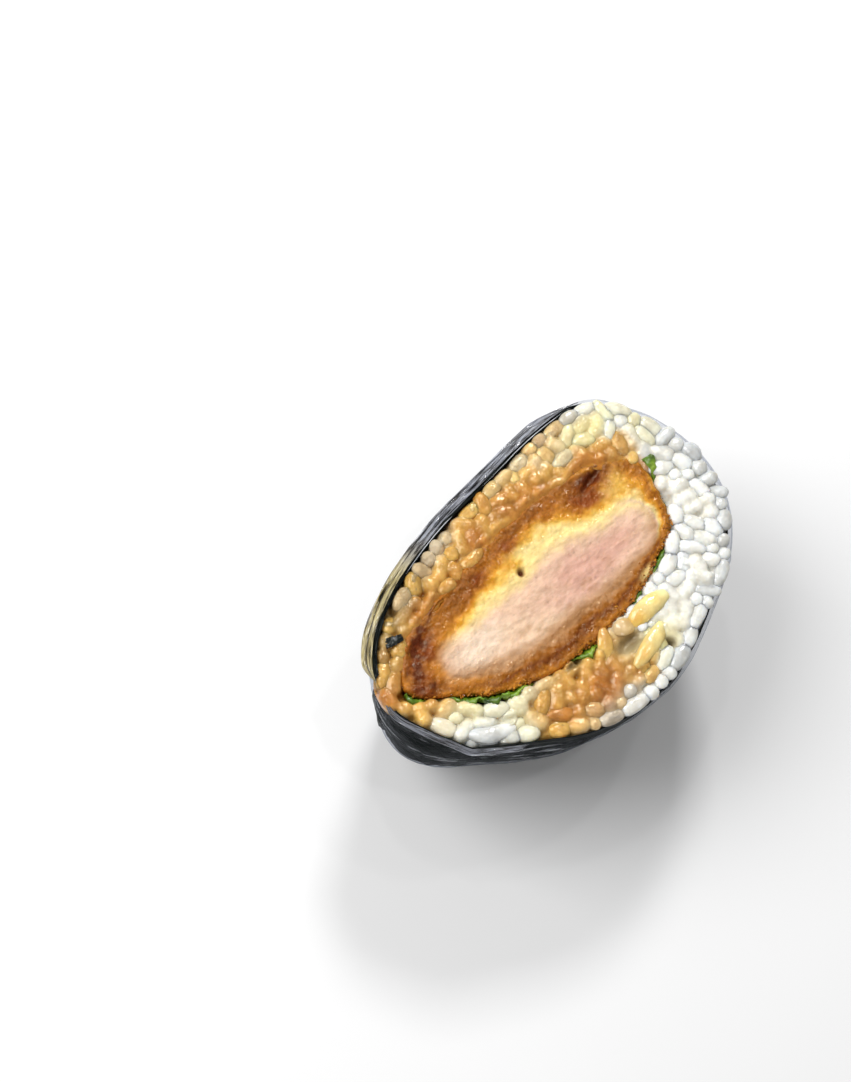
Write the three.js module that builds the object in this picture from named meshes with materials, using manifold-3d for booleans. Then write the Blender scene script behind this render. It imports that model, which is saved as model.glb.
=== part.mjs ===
// Half of an onigirazu: a breaded pork cutlet with a leaf of lettuce in rice, folded in one sheet of
// nori, wrapped in clear film and cut through the middle. The half stands on its rounded end with
// the cut face up. Millimetres, +Z up, +X along the cut face, origin under the middle of the box.
import * as THREE from "three";
import Module from "manifold-3d";

const wasm = await Module();
wasm.setup();

// ---- Driving dimensions ----
const FACE_HEIGHT = 46; // from the flat spot underneath to the cut face
const FULL_DEPTH = 48; // depth at which the rounded end would close, were it not flattened
const FLAT_FRACTION = FACE_HEIGHT / FULL_DEPTH; // where the flat spot cuts the rounded end
const LENGTH_ROUNDING = 3.2; // a high power keeps the short ends upright for longer
const WIDTH_ROUNDING = 2.3; // a low power rounds the broad sides in sooner
const GAP = 0.3; // between neighbouring pieces
const NORI_WALL = 0.6; // the damp sheet, with its folded layers
const FILM_WALL = 0.4; // stands for one or two turns of a film of 0.01 mm
const NOTCH_WIDTH = 7; // where the two edges of the nori don't meet
const NOTCH_DEPTH = 9;
const NOTCH_AT = new THREE.Vector2(-41.5, 6);
const FLAP_WIDTH = 4.5; // loose film standing off the broad side
const FLAP_DEPTH = 9;
const END_FLARE = 1.8; // film standing off the short end
const EAR_BULGE = 1.6; // the folded corner that stands out below the rim
const EAR_AT = new THREE.Vector2(-41, -4);
const TUCK = 1.6; // the side pressed in beside that corner
const TUCK_AT = new THREE.Vector2(-38.5, 13);
const CUTLET_DEPTH = 37; // from the cut face to the cutlet's hidden end
const CUTLET_LENGTH_ROUNDING = 3.2;
const CUTLET_WIDTH_ROUNDING = 3;
const CUTLET_FLAT_FRACTION = 0.96;
const CRUST_RELIEF = 0.5; // the breading's bumps
const LEAF_WALL = 0.6;
const LEAF_WAVE = 0.7; // how far the leaf's ripples stand off the cutlet
const LEAF_DEPTH_FRACTION = 0.86;
const GRAIN_RELIEF = 0.7; // how uneven the rice is, on its outline and on the cut face

const OUTLINE_STATIONS = 64;
const OUTLINE_LEVELS = 8;
const CUTLET_STATIONS = 48;
const CUTLET_LEVELS = 6;

// The cut face, seen from above and counterclockwise: the outer side of the nori.
const FACE_OUTLINE = [
  [44, 0.5], [43, 10], [39.5, 19.5], [33, 27.8], [20, 28.9], [4, 27.6], [-12, 25], [-26, 21.5],
  [-36, 15.6], [-41.3, 7.5], [-42, -2], [-38.4, -10], [-30, -18], [-18, -25], [-4, -28.8],
  [12, -27.9], [25, -21.8], [35.5, -15.2], [41.8, -8],
];

// The cutlet with its breading, in the same view.
const CUTLET_OUTLINE = [
  [32.8, 11.5], [28, 15.5], [20, 17.4], [6, 18.2], [-8, 17], [-20, 14.8], [-30, 13], [-35.5, 8.5],
  [-37.9, 3], [-33, -1.2], [-25.8, -6.3], [-16.8, -11], [-6.6, -12.7], [5, -12.2], [14, -10.8],
  [22.5, -7.4], [29.6, -2.9], [32.3, 4.5],
];

// The leaf covers the cutlet's outline from this fraction of the way round to the first point.
const LEAF_START = 0.47;
const LEAF_FADE = 0.05;

// ---- Small helpers ----
const smooth = (edge0, edge1, x) => THREE.MathUtils.smoothstep(x, edge0, edge1);

// A fixed scatter between -1 and 1 for two whole numbers.
function scatter(a, b) {
  const s = Math.sin(a * 12.9898 + b * 78.233) * 43758.5453;
  return 2 * (s - Math.floor(s)) - 1;
}

function closedCurve(points) {
  const corners = points.map(([x, y]) => new THREE.Vector3(x, y, 0));
  return new THREE.CatmullRomCurve3(corners, true, "centripetal");
}

function stations(points, count) {
  return closedCurve(points).getSpacedPoints(count).slice(0, count);
}

// The direction that points out of a counterclockwise ring at station i.
function outward(ring, i) {
  const before = ring[(i + ring.length - 1) % ring.length];
  const after = ring[(i + 1) % ring.length];
  return new THREE.Vector3(after.y - before.y, before.x - after.x, 0).normalize();
}

// How much a rounded end has shrunk at a fraction of its full depth.
function shrink(fraction, rounding) {
  return (1 - fraction ** rounding) ** (1 / rounding);
}

// Depth fractions from the rim to the flat spot, closer together where the shape turns in.
function depthFractions(count, last) {
  return Array.from({ length: count + 1 }, (_, j) => last * Math.sin((Math.PI / 2) * (j / count)));
}

// ---- Solids ----
// Rings run from the bottom to the top, each counterclockwise seen from above.
function solidFromRings(rings) {
  const count = rings[0].length;
  const vertices = rings.flat();
  const triangles = [];
  for (let j = 0; j + 1 < rings.length; j++) {
    for (let i = 0; i < count; i++) {
      const a = j * count + i;
      const b = j * count + ((i + 1) % count);
      triangles.push(a, b, b + count, a, b + count, a + count);
    }
  }
  closeRing(vertices, triangles, rings[0], 0, -1);
  closeRing(vertices, triangles, rings[rings.length - 1], (rings.length - 1) * count, 1);
  return manifold(vertices, triangles);
}

function closeRing(vertices, triangles, ring, first, side) {
  const middle = new THREE.Vector3();
  ring.forEach((p) => middle.addScaledVector(p, 1 / ring.length));
  const centre = vertices.push(middle) - 1;
  for (let i = 0; i < ring.length; i++) {
    const a = first + i;
    const b = first + ((i + 1) % ring.length);
    triangles.push(centre, ...(side > 0 ? [a, b] : [b, a]));
  }
}

function manifold(vertices, triangles) {
  const vertProperties = new Float32Array(vertices.flatMap((p) => [p.x, p.y, p.z]));
  const triVerts = new Uint32Array(triangles);
  return new wasm.Manifold(new wasm.Mesh({ numProp: 3, vertProperties, triVerts }));
}

// ---- The packet's rounded end ----
const faceStations = stations(FACE_OUTLINE, OUTLINE_STATIONS);

// 1 at a place on the outline, fading to 0 within a reach of it.
function near(place, i, reach) {
  const distance = Math.hypot(faceStations[i].x - place.x, faceStations[i].y - place.y);
  return 1 - smooth(0, reach, distance);
}

// Broad lumps that nori, film and rice share: shallow waves, a folded corner and a pressed side.
function lump(i, fraction) {
  const turn = (2 * Math.PI * i) / OUTLINE_STATIONS;
  const waves = 0.35 * Math.sin(3 * turn + 5 * fraction) * fraction
    + 0.25 * Math.sin(7 * turn - 9 * fraction);
  const ear = EAR_BULGE * near(EAR_AT, i, 16) * Math.sin(Math.PI * Math.min(1, fraction * 1.1));
  const tuck = TUCK * near(TUCK_AT, i, 15) * smooth(0.05, 0.5, fraction);
  return waves + ear - tuck;
}

// One ring of the packet, moved in by inset(i, depth), at a fraction of the full depth.
function packetRing(fraction, inset) {
  const sx = shrink(fraction, LENGTH_ROUNDING);
  const sy = shrink(fraction, WIDTH_ROUNDING);
  const scaled = faceStations.map((p) => new THREE.Vector3(p.x * sx, p.y * sy, 0));
  return scaled.map((p, i) => {
    const move = lump(i, fraction) - inset(i, fraction);
    const place = p.clone().addScaledVector(outward(scaled, i), move);
    place.z = FACE_HEIGHT - (FULL_DEPTH - inset(i, FLAT_FRACTION)) * fraction;
    return place;
  });
}

function packetRings(inset, fractions) {
  return [...fractions].reverse().map((fraction) => packetRing(fraction, inset));
}

// The same solid carried on above the rim, so that taking it away leaves an open cup.
function packetCore(inset, fractions) {
  const rings = packetRings(inset, fractions);
  const above = rings[rings.length - 1].map((p) => p.clone().setZ(FACE_HEIGHT + 5));
  return solidFromRings([...rings, above]);
}

const wallFractions = depthFractions(OUTLINE_LEVELS, FLAT_FRACTION);

// ---- Nori ----
function makeNori() {
  const outside = solidFromRings(packetRings(() => 0, wallFractions));
  const cup = outside.subtract(packetCore(() => NORI_WALL, wallFractions));
  return cup.subtract(noriNotch());
}

// A wedge out of the rim at the short end, where the sheet's edges stand apart.
function noriNotch() {
  const wedge = new THREE.Shape();
  wedge.moveTo(-NOTCH_WIDTH / 2, 1);
  wedge.lineTo(-NOTCH_WIDTH / 5, -NOTCH_DEPTH);
  wedge.lineTo(NOTCH_WIDTH / 5, -NOTCH_DEPTH);
  wedge.lineTo(NOTCH_WIDTH / 2, 1);
  const geometry = new THREE.ExtrudeGeometry(wedge, { depth: 8, bevelEnabled: false });
  const middle = -4;
  geometry.translate(0, 0, middle).rotateX(Math.PI / 2).rotateZ(Math.PI / 2);
  geometry.translate(NOTCH_AT.x, NOTCH_AT.y, FACE_HEIGHT);
  return manifoldFromGeometry(geometry);
}

function manifoldFromGeometry(geometry) {
  const position = geometry.getAttribute("position");
  const vertices = [];
  const found = new Map();
  const triangles = [];
  for (let i = 0; i < position.count; i++) {
    const p = new THREE.Vector3().fromBufferAttribute(position, i);
    const key = [p.x, p.y, p.z].map((v) => v.toFixed(4)).join();
    if (!found.has(key)) found.set(key, vertices.push(p) - 1);
    triangles.push(found.get(key));
  }
  return manifold(vertices, triangles);
}

// ---- Film ----
// How far the film stands off: a loose flap on one broad side and a little on the short end.
function filmFlare(i, fraction) {
  const p = faceStations[i];
  const depth = fraction * FULL_DEPTH;
  const flap = smooth(-9, 4, p.x) * (1 - smooth(26, 36, p.x)) * smooth(10, 20, p.y);
  const end = 1 - smooth(-40, -34, p.x);
  const fade = 1 - smooth(0, FLAP_DEPTH, depth);
  return (FLAP_WIDTH * flap + END_FLARE * end) * fade;
}

function makeFilm() {
  const rimFractions = [0, 1.5 / FULL_DEPTH, 4 / FULL_DEPTH];
  const fractions = [...rimFractions, ...wallFractions.slice(1)].sort((a, b) => a - b);
  const outside = (i, fraction) => -GAP - FILM_WALL - filmFlare(i, fraction);
  const inside = (i, fraction) => -GAP - filmFlare(i, fraction);
  return solidFromRings(packetRings(outside, fractions)).subtract(packetCore(inside, fractions));
}

// ---- Cutlet ----
const cutletStations = stations(CUTLET_OUTLINE, CUTLET_STATIONS);
const cutletMiddle = new THREE.Box3().setFromPoints(cutletStations).getCenter(new THREE.Vector3());
const cutletFractions = depthFractions(CUTLET_LEVELS, CUTLET_FLAT_FRACTION);

// One ring of the cutlet, moved out by outset(i), at a fraction of its depth.
function cutletRing(fraction, outset) {
  const sx = shrink(fraction, CUTLET_LENGTH_ROUNDING);
  const sy = shrink(fraction, CUTLET_WIDTH_ROUNDING);
  const scaled = cutletStations.map((p) => {
    const arm = p.clone().sub(cutletMiddle);
    return new THREE.Vector3(cutletMiddle.x + arm.x * sx, cutletMiddle.y + arm.y * sy, 0);
  });
  return scaled.map((p, i) => {
    const place = p.clone().addScaledVector(outward(scaled, i), outset(i, fraction));
    place.z = FACE_HEIGHT - (CUTLET_DEPTH + Math.max(outset(i, 0), 0)) * fraction;
    return place;
  });
}

// The breading's bumps reach inwards from the cutlet's outline.
function crustBump(i, fraction) {
  return -CRUST_RELIEF * (0.5 + 0.5 * scatter(i, Math.round(fraction * 40)));
}

// Rings drawn in towards the middle of the cut face, each a little above or below it.
function faceRings(rim, middle, reaches, relief, seed) {
  return reaches.map((reach, k) =>
    rim.map((p, i) => {
      const place = p.clone().lerp(middle, 1 - reach);
      place.z = FACE_HEIGHT + relief * scatter(i + seed, k);
      return place;
    }),
  );
}

function makeCutlet() {
  const rings = [...cutletFractions].reverse().map((fraction) => cutletRing(fraction, crustBump));
  const rim = rings[rings.length - 1];
  const meat = faceRings(rim, cutletMiddle, [0.85, 0.45], 0.2, 11);
  return solidFromRings([...rings, ...meat]);
}

// ---- Leaf ----
// 1 where the leaf lies against the cutlet, falling to 0 past its two ends.
function leafCover(i) {
  const turn = i / CUTLET_STATIONS;
  return Math.max(smooth(LEAF_START - LEAF_FADE, LEAF_START, turn), 1 - smooth(0, LEAF_FADE, turn));
}

// How far the leaf ripples away from the cutlet.
function leafWave(i, fraction) {
  return LEAF_WAVE * (0.5 + 0.5 * Math.sin(i * 1.9 + 6 * fraction));
}

// A thin rippled sheet against the cutlet, closed along its edges and ends.
function makeLeaf() {
  const first = Math.ceil(LEAF_START * CUTLET_STATIONS);
  const steps = CUTLET_STATIONS - first;
  const fractions = cutletFractions.filter((f) => f <= LEAF_DEPTH_FRACTION);
  const innerSide = (i, f) => GAP + leafWave(i, f);
  const outerSide = (i, f) => innerSide(i, f) + LEAF_WALL;
  const sections = [];
  for (let k = 0; k <= steps; k++) {
    const i = (first + k) % CUTLET_STATIONS;
    const inner = fractions.map((f) => cutletRing(f, innerSide)[i]);
    const outer = fractions.map((f) => cutletRing(f, outerSide)[i]);
    sections.push([...inner, ...outer.reverse()]);
  }
  return solidFromSections(sections);
}

// A bar swept through sections that all have the same number of corners.
function solidFromSections(sections) {
  const count = sections[0].length;
  const vertices = sections.flat();
  const triangles = [];
  for (let k = 0; k + 1 < sections.length; k++) {
    for (let c = 0; c < count; c++) {
      const a = k * count + c;
      const b = k * count + ((c + 1) % count);
      triangles.push(a, a + count, b + count, a, b + count, b);
    }
  }
  const last = (sections.length - 1) * count;
  for (let c = 0; c < count / 2 - 1; c++) {
    const d = count - 1 - c;
    triangles.push(c, c + 1, d - 1, c, d - 1, d);
    triangles.push(last + c, last + d - 1, last + c + 1, last + c, last + d, last + d - 1);
  }
  return manifold(vertices, triangles);
}

// ---- Rice ----
function makeRice() {
  const inset = (i, fraction) => {
    const uneven = 0.5 + 0.5 * scatter(i, Math.round(fraction * 50));
    return NORI_WALL + GAP + 0.3 + GRAIN_RELIEF * uneven;
  };
  const rings = packetRings(inset, wallFractions);
  const rim = rings[rings.length - 1];
  const face = faceRings(rim, new THREE.Vector3(0, 0, FACE_HEIGHT), [0.9, 0.76, 0.6], 0.45, 5);
  return solidFromRings([...rings, ...face]).subtract(fillingRoom());
}

// The room that the cutlet and the leaf take up in the rice.
function fillingRoom() {
  const leafRoom = GAP + LEAF_WAVE + LEAF_WALL;
  const outset = (i) => GAP + leafRoom * leafCover(i);
  const rings = [...cutletFractions].reverse().map((fraction) => cutletRing(fraction, outset));
  const above = rings[rings.length - 1].map((p) => p.clone().setZ(FACE_HEIGHT + 5));
  return solidFromRings([...rings, above]);
}

// ---- Meshes ----
function toMesh(name, solid, color, roughness, options = {}) {
  const made = solid.getMesh();
  const geometry = new THREE.BufferGeometry();
  const position = new THREE.BufferAttribute(new Float32Array(made.vertProperties), 3);
  geometry.setAttribute("position", position);
  geometry.setIndex(new THREE.BufferAttribute(new Uint32Array(made.triVerts), 1));
  geometry.computeVertexNormals();
  const material = new THREE.MeshStandardMaterial({ color, roughness, metalness: 0, ...options });
  const mesh = new THREE.Mesh(geometry, material);
  mesh.name = name;
  return mesh;
}

const half = new THREE.Group();
half.add(toMesh("film", makeFilm(), 0xe8ecee, 0.15, { transparent: true, opacity: 0.3 }));
half.add(toMesh("nori", makeNori(), 0x14181a, 0.45));
half.add(toMesh("rice", makeRice(), 0xe9dfc6, 0.5));
half.add(toMesh("leaf", makeLeaf(), 0x4c7a22, 0.5));
half.add(toMesh("cutlet", makeCutlet(), 0xb87a3c, 0.6));

// The box's middle comes over the origin.
const box = new THREE.Box3().setFromObject(half);
const middle = box.getCenter(new THREE.Vector3());
half.position.set(-middle.x, -middle.y, -box.min.z);

export default half;
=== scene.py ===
"""Half an onigirazu, dressed for the studio.

Rice, a breaded pork cutlet with a leaf, a folded sheet of nori and a wrap of clear film are built
round the fixed frame. Shapes are worked out in millimetres from the middle of the cut face, with
+Z out of the face, and become metres in the frame's own place when a piece is made.
"""

from __future__ import annotations

import itertools
import logging
import math
from collections.abc import Mapping, Sequence
from dataclasses import dataclass, field, replace
from enum import Enum

import bpy
import numpy as np
from mathutils import Matrix, Vector
from mathutils.bvhtree import BVHTree

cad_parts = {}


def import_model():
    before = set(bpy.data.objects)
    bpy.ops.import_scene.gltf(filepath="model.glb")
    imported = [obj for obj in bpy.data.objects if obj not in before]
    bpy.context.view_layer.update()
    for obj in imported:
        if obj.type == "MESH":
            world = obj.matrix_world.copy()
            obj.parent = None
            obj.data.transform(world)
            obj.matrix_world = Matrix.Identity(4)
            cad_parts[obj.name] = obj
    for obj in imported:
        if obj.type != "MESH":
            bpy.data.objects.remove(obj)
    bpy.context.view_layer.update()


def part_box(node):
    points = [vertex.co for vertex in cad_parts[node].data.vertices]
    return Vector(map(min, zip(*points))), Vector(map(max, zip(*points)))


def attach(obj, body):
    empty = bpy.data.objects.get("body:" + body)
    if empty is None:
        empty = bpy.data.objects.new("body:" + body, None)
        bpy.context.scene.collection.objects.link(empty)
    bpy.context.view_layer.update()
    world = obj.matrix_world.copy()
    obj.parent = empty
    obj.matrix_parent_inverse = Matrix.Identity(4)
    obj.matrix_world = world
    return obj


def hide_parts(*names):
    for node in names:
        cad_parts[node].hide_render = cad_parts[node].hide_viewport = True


Array = np.ndarray
Faces = list[list[int]]
Material = bpy.types.Material
Mesh = bpy.types.Mesh
Piece = bpy.types.Object
Inputs = Mapping[str | int, object]
LOG = logging.getLogger("onigirazu")
MM = 0.001
BODY = "root"


# ---- Numbers and noise ----


def smooth(low: float, high: float, value: Array | float) -> Array:
    """Rises gently from 0 at low to 1 at high, or falls if high is below low."""
    share = np.clip((np.asarray(value, float) - low) / (high - low), 0, 1)
    return share * share * (3.0 - 2.0 * share)


def unit(vectors: Array) -> Array:
    """Returns vectors made one long, along the last axis."""
    return vectors / np.maximum(np.linalg.norm(vectors, axis=-1, keepdims=True), 1e-9)


def srgb(red: float, green: float, blue: float) -> Array:
    """Turns a screen colour from 0 to 255 into linear light."""
    shown = np.array([red, green, blue], float) / 255.0
    return np.where(shown <= 0.04045, shown / 12.92, ((shown + 0.055) / 1.055) ** 2.4)


class Tone(Enum):
    """Named colours of the food, as they look on a screen."""

    WHITE_RICE = (246, 246, 238)
    PEARL_RICE = (184, 188, 191)
    CREAM_RICE = (244, 231, 164)
    PALE_AMBER = (216, 190, 146)
    GOLD_RICE = (230, 186, 102)
    AMBER = (212, 162, 86)
    DEEP_AMBER = (198, 134, 62)
    MEAT_WHITE = (240, 218, 196)
    MEAT_PALE = (231, 199, 170)
    MEAT_PINK = (214, 168, 150)
    MEAT_GREY = (174, 126, 82)
    FAT_CREAM = (242, 217, 146)
    FAT_YELLOW = (234, 190, 90)
    CRUST_GOLD = (222, 158, 46)
    CRUST_ORANGE = (198, 128, 38)
    CRUST_BROWN = (160, 96, 24)
    CRUST_DARK = (118, 58, 16)
    CRUST_SOAKED = (134, 58, 20)
    # Painted shade for the pits of the meat's pores.
    PORE = (104, 52, 30)
    SAUCE = (86, 28, 6)
    # Not a colour of the food: painted shade for the rice's hollows.
    HOLLOW = (140, 124, 92)
    LEAF_DARK = (42, 72, 14)
    LEAF_MID = (108, 146, 26)
    LEAF_PALE = (172, 200, 74)
    PICKLE = (252, 242, 180)
    PICKLE_EDGE = (242, 198, 104)
    FILM_GREY = (136, 140, 150)
    FILM_OLIVE = (164, 152, 108)

    @property
    def linear(self) -> Array:
        """The colour as linear light."""
        return srgb(*self.value)


def linear(colour: Tone | Array) -> Array:
    """Returns a tone or colours as linear light."""
    return colour.linear if isinstance(colour, Tone) else colour


def blend(first: Tone | Array, second: Tone | Array, share: Array) -> Array:
    """Mixes colours point by point, from first at share 0 to second at share 1."""
    share = np.clip(share, 0, 1)[:, None]
    return linear(first) * (1.0 - share) + linear(second) * share


def ramp(stops: Sequence[tuple[float, Tone]], share: Array) -> Array:
    """Reads a ramp of places with their tones, in order, at one share for each point."""
    places, tones = zip(*stops)
    return np.stack([np.interp(share, places, column) for column in zip(*map(linear, tones))], axis=1)


def hashed(cells: Array, seed: int) -> Array:
    """Gives each whole-number cell a fixed number.

    Args:
        cells: Cells as rows.
        seed: Chooses the pattern.

    Returns:
        Numbers from 0 to 1.
    """
    mixed = np.full(len(cells), 7919 * seed + 17, np.uint64)
    for axis in range(cells.shape[1]):
        cell = cells[:, axis].astype(np.int64).view(np.uint64)
        mixed ^= cell + np.uint64(0x9E3779B97F4A7C15) + (mixed << np.uint64(6)) + (mixed >> np.uint64(2))
        mixed *= np.uint64(0xBF58476D1CE4E5B9)
        mixed ^= mixed >> np.uint64(31)
    return (mixed >> np.uint64(11)).astype(float) / 2.0**53


def noise(points: Array, size: float, seed: int, octaves: int = 1) -> Array:
    """Soft noise on points of any dimension.

    Args:
        points: Points as rows, in mm.
        size: Width of the largest lumps, in mm.
        seed: Chooses the pattern.
        octaves: Layers, each half as large and half as strong as the one before.

    Returns:
        Numbers from about -1 to 1.
    """
    total = np.zeros(len(points))
    strength, whole = 1.0, 0.0
    for octave in range(octaves):
        scaled = points / (size / 2.0**octave)
        base = np.floor(scaled)
        part = scaled - base
        part = part * part * (3.0 - 2.0 * part)
        for corner in itertools.product((0, 1), repeat=points.shape[1]):
            weight = np.prod(np.where(corner, part, 1.0 - part), axis=1)
            total += strength * weight * (2.0 * hashed(base + corner, seed + 31 * octave) - 1.0)
        whole += strength
        strength *= 0.5
    return total / whole


def cells(points: Array, size: float, seed: int) -> tuple[Array, Array]:
    """Grainy noise: distance to the nearest of many scattered points.

    Args:
        points: Points as rows, in mm.
        size: Spacing of the scattered points, in mm.
        seed: Chooses the pattern.

    Returns:
        The distance in sizes, and a fixed number from 0 to 1 for the nearest point.
    """
    scaled = points / size
    base = np.floor(scaled)
    nearest = np.full(len(points), np.inf)
    value = np.zeros(len(points))
    for offset in itertools.product((-1, 0, 1), repeat=points.shape[1]):
        cell = base + offset
        spot = np.stack([hashed(cell, seed + 7 * k + 1) for k in range(points.shape[1])], axis=1)
        distance = np.linalg.norm(cell + spot - scaled, axis=1)
        closer = distance < nearest
        nearest = np.where(closer, distance, nearest)
        value = np.where(closer, hashed(cell, seed), value)
    return nearest, value


@dataclass(frozen=True)
class Spot:
    """A soft oval in the cut face where something spreads, sinks or leans."""

    x: float
    y: float
    long: float
    wide: float
    amount: float = 1.0
    turn: float = 0.0

    def at(self, points: Array) -> Array:
        """Returns how much of it reaches each point."""
        c, s = math.cos(math.radians(self.turn)), math.sin(math.radians(self.turn))
        dx, dy = points[:, 0] - self.x, points[:, 1] - self.y
        u, v = (c * dx + s * dy) / self.long, (-s * dx + c * dy) / self.wide
        return self.amount * np.exp(-((u**2 + v**2) ** 1.5))


Spots = tuple[Spot, ...]


def spots(*rows: Sequence[float]) -> Spots:
    """Returns several spots, each from a row of its numbers."""
    return tuple(Spot(*row) for row in rows)


def strongest(several: Sequence[Spot], points: Array) -> Array:
    """Returns the strongest of several spots at each point."""
    return np.max([spot.at(points) for spot in several], axis=0)


# ---- Lines, lattices and nets in the cut face ----


def resample(line: Array, count: int, closed: bool = True) -> Array:
    """Spaces points evenly along a line.

    Args:
        line: Points as rows.
        count: How many points to return.
        closed: True if the line's end joins its start.

    Returns:
        The evenly spaced points.
    """
    whole = np.vstack([line, line[:1]]) if closed else line
    along = np.concatenate([[0.0], np.cumsum(np.linalg.norm(np.diff(whole, axis=0), axis=1))])
    at = np.linspace(0.0, along[-1], count, endpoint=not closed)
    return np.stack([np.interp(at, along, whole[:, k]) for k in range(whole.shape[1])], axis=1)


def curve(corners: Sequence[Sequence[float]], closed: bool, steps: int = 24) -> Array:
    """Draws a smooth line through a few points.

    Args:
        corners: Points in order.
        closed: True if the last joins the first.
        steps: Points between two corners.

    Returns:
        The line's points.
    """
    p = np.array(corners, float)
    if closed:
        before, after, beyond = np.roll(p, 1, 0), np.roll(p, -1, 0), np.roll(p, -2, 0)
    else:
        wide = np.vstack([2 * p[0] - p[1], p, 2 * p[-1] - p[-2]])
        before, p, after, beyond = wide[:-3], wide[1:-2], wide[2:-1], wide[3:]
    t = np.linspace(0, 1, steps, endpoint=False)[None, :, None]
    p0, p1, p2, p3 = (q[:, None, :] for q in (before, p, after, beyond))
    line = 0.5 * (
        2 * p1
        + (p2 - p0) * t
        + (2 * p0 - 5 * p1 + 4 * p2 - p3) * t**2
        + (3 * p1 - p0 - 3 * p2 + p3) * t**3
    ).reshape(-1, p.shape[1])
    return line if closed else np.vstack([line, after[-1]])


@dataclass(frozen=True)
class Outline:
    """A closed line in the cut face, counterclockwise, as a dense loop of points in mm."""

    loop: Array

    @classmethod
    def through(cls, corners: Sequence[tuple[float, float]], count: int = 360) -> Outline:
        """Returns a smooth outline through a few points."""
        return cls(resample(curve(corners, closed=True), count))

    def normals(self) -> Array:
        """Returns the outward direction at each point of the loop."""
        run = np.roll(self.loop, -1, 0) - np.roll(self.loop, 1, 0)
        return unit(np.stack([run[:, 1], -run[:, 0]], axis=1))

    def moved(self, by: Array | float) -> Outline:
        """Returns the outline pushed outwards by a distance, one for all or one for each point."""
        return Outline(self.loop + self.normals() * np.reshape(by, (-1, 1)))

    def inside(self, points: Array) -> Array:
        """Measures how far inside the outline points lie.

        Args:
            points: Points as rows.

        Returns:
            Distances to the line, negative outside.
        """
        start, end = self.loop, np.roll(self.loop, -1, 0)
        edge = end - start
        length2 = np.maximum((edge**2).sum(1), 1e-12)
        result = np.empty(len(points))
        for first in range(0, len(points), 4000):
            p = points[first : first + 4000, None, :2]
            share = np.clip(((p - start) * edge).sum(2) / length2, 0, 1)
            gap = np.sqrt((((start + share[..., None] * edge) - p) ** 2).sum(2).min(1))
            x, y = p[..., 0], p[..., 1]
            spans = (start[:, 1] > y) != (end[:, 1] > y)
            rise = np.where(np.abs(edge[:, 1]) < 1e-12, 1e-12, edge[:, 1])
            crossing = x < start[:, 0] + (y - start[:, 1]) / rise * edge[:, 0]
            odd = (spans & crossing).sum(1) % 2 == 1
            result[first : first + 4000] = np.where(odd, gap, -gap)
        return result

    def stretch(self, start: Sequence[float], end: Sequence[float], count: int) -> tuple[Array, Array]:
        """Spaces points along part of the outline.

        Args:
            start: Where the part starts, near the line.
            end: Where it ends, counterclockwise from there.
            count: How many points to return.

        Returns:
            The points and their outward directions.
        """
        loop = self.loop
        first, last = (int(np.argmin(np.linalg.norm(loop - at, axis=1))) for at in (start, end))
        picks = (first + np.arange((last - first) % len(loop) + 1)) % len(loop)
        both = resample(np.hstack([loop[picks], self.normals()[picks]]), count, closed=False)
        return both[:, :2], unit(both[:, 2:])

    def nearest(self, point: Array) -> Array:
        """Returns the place on the line that lies nearest to a point."""
        edge = np.roll(self.loop, -1, 0) - self.loop
        share = np.clip(((point - self.loop) * edge).sum(1) / (edge**2).sum(1), 0, 1)
        spots = self.loop + share[:, None] * edge
        return spots[np.argmin(((spots - point) ** 2).sum(1))]


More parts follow.
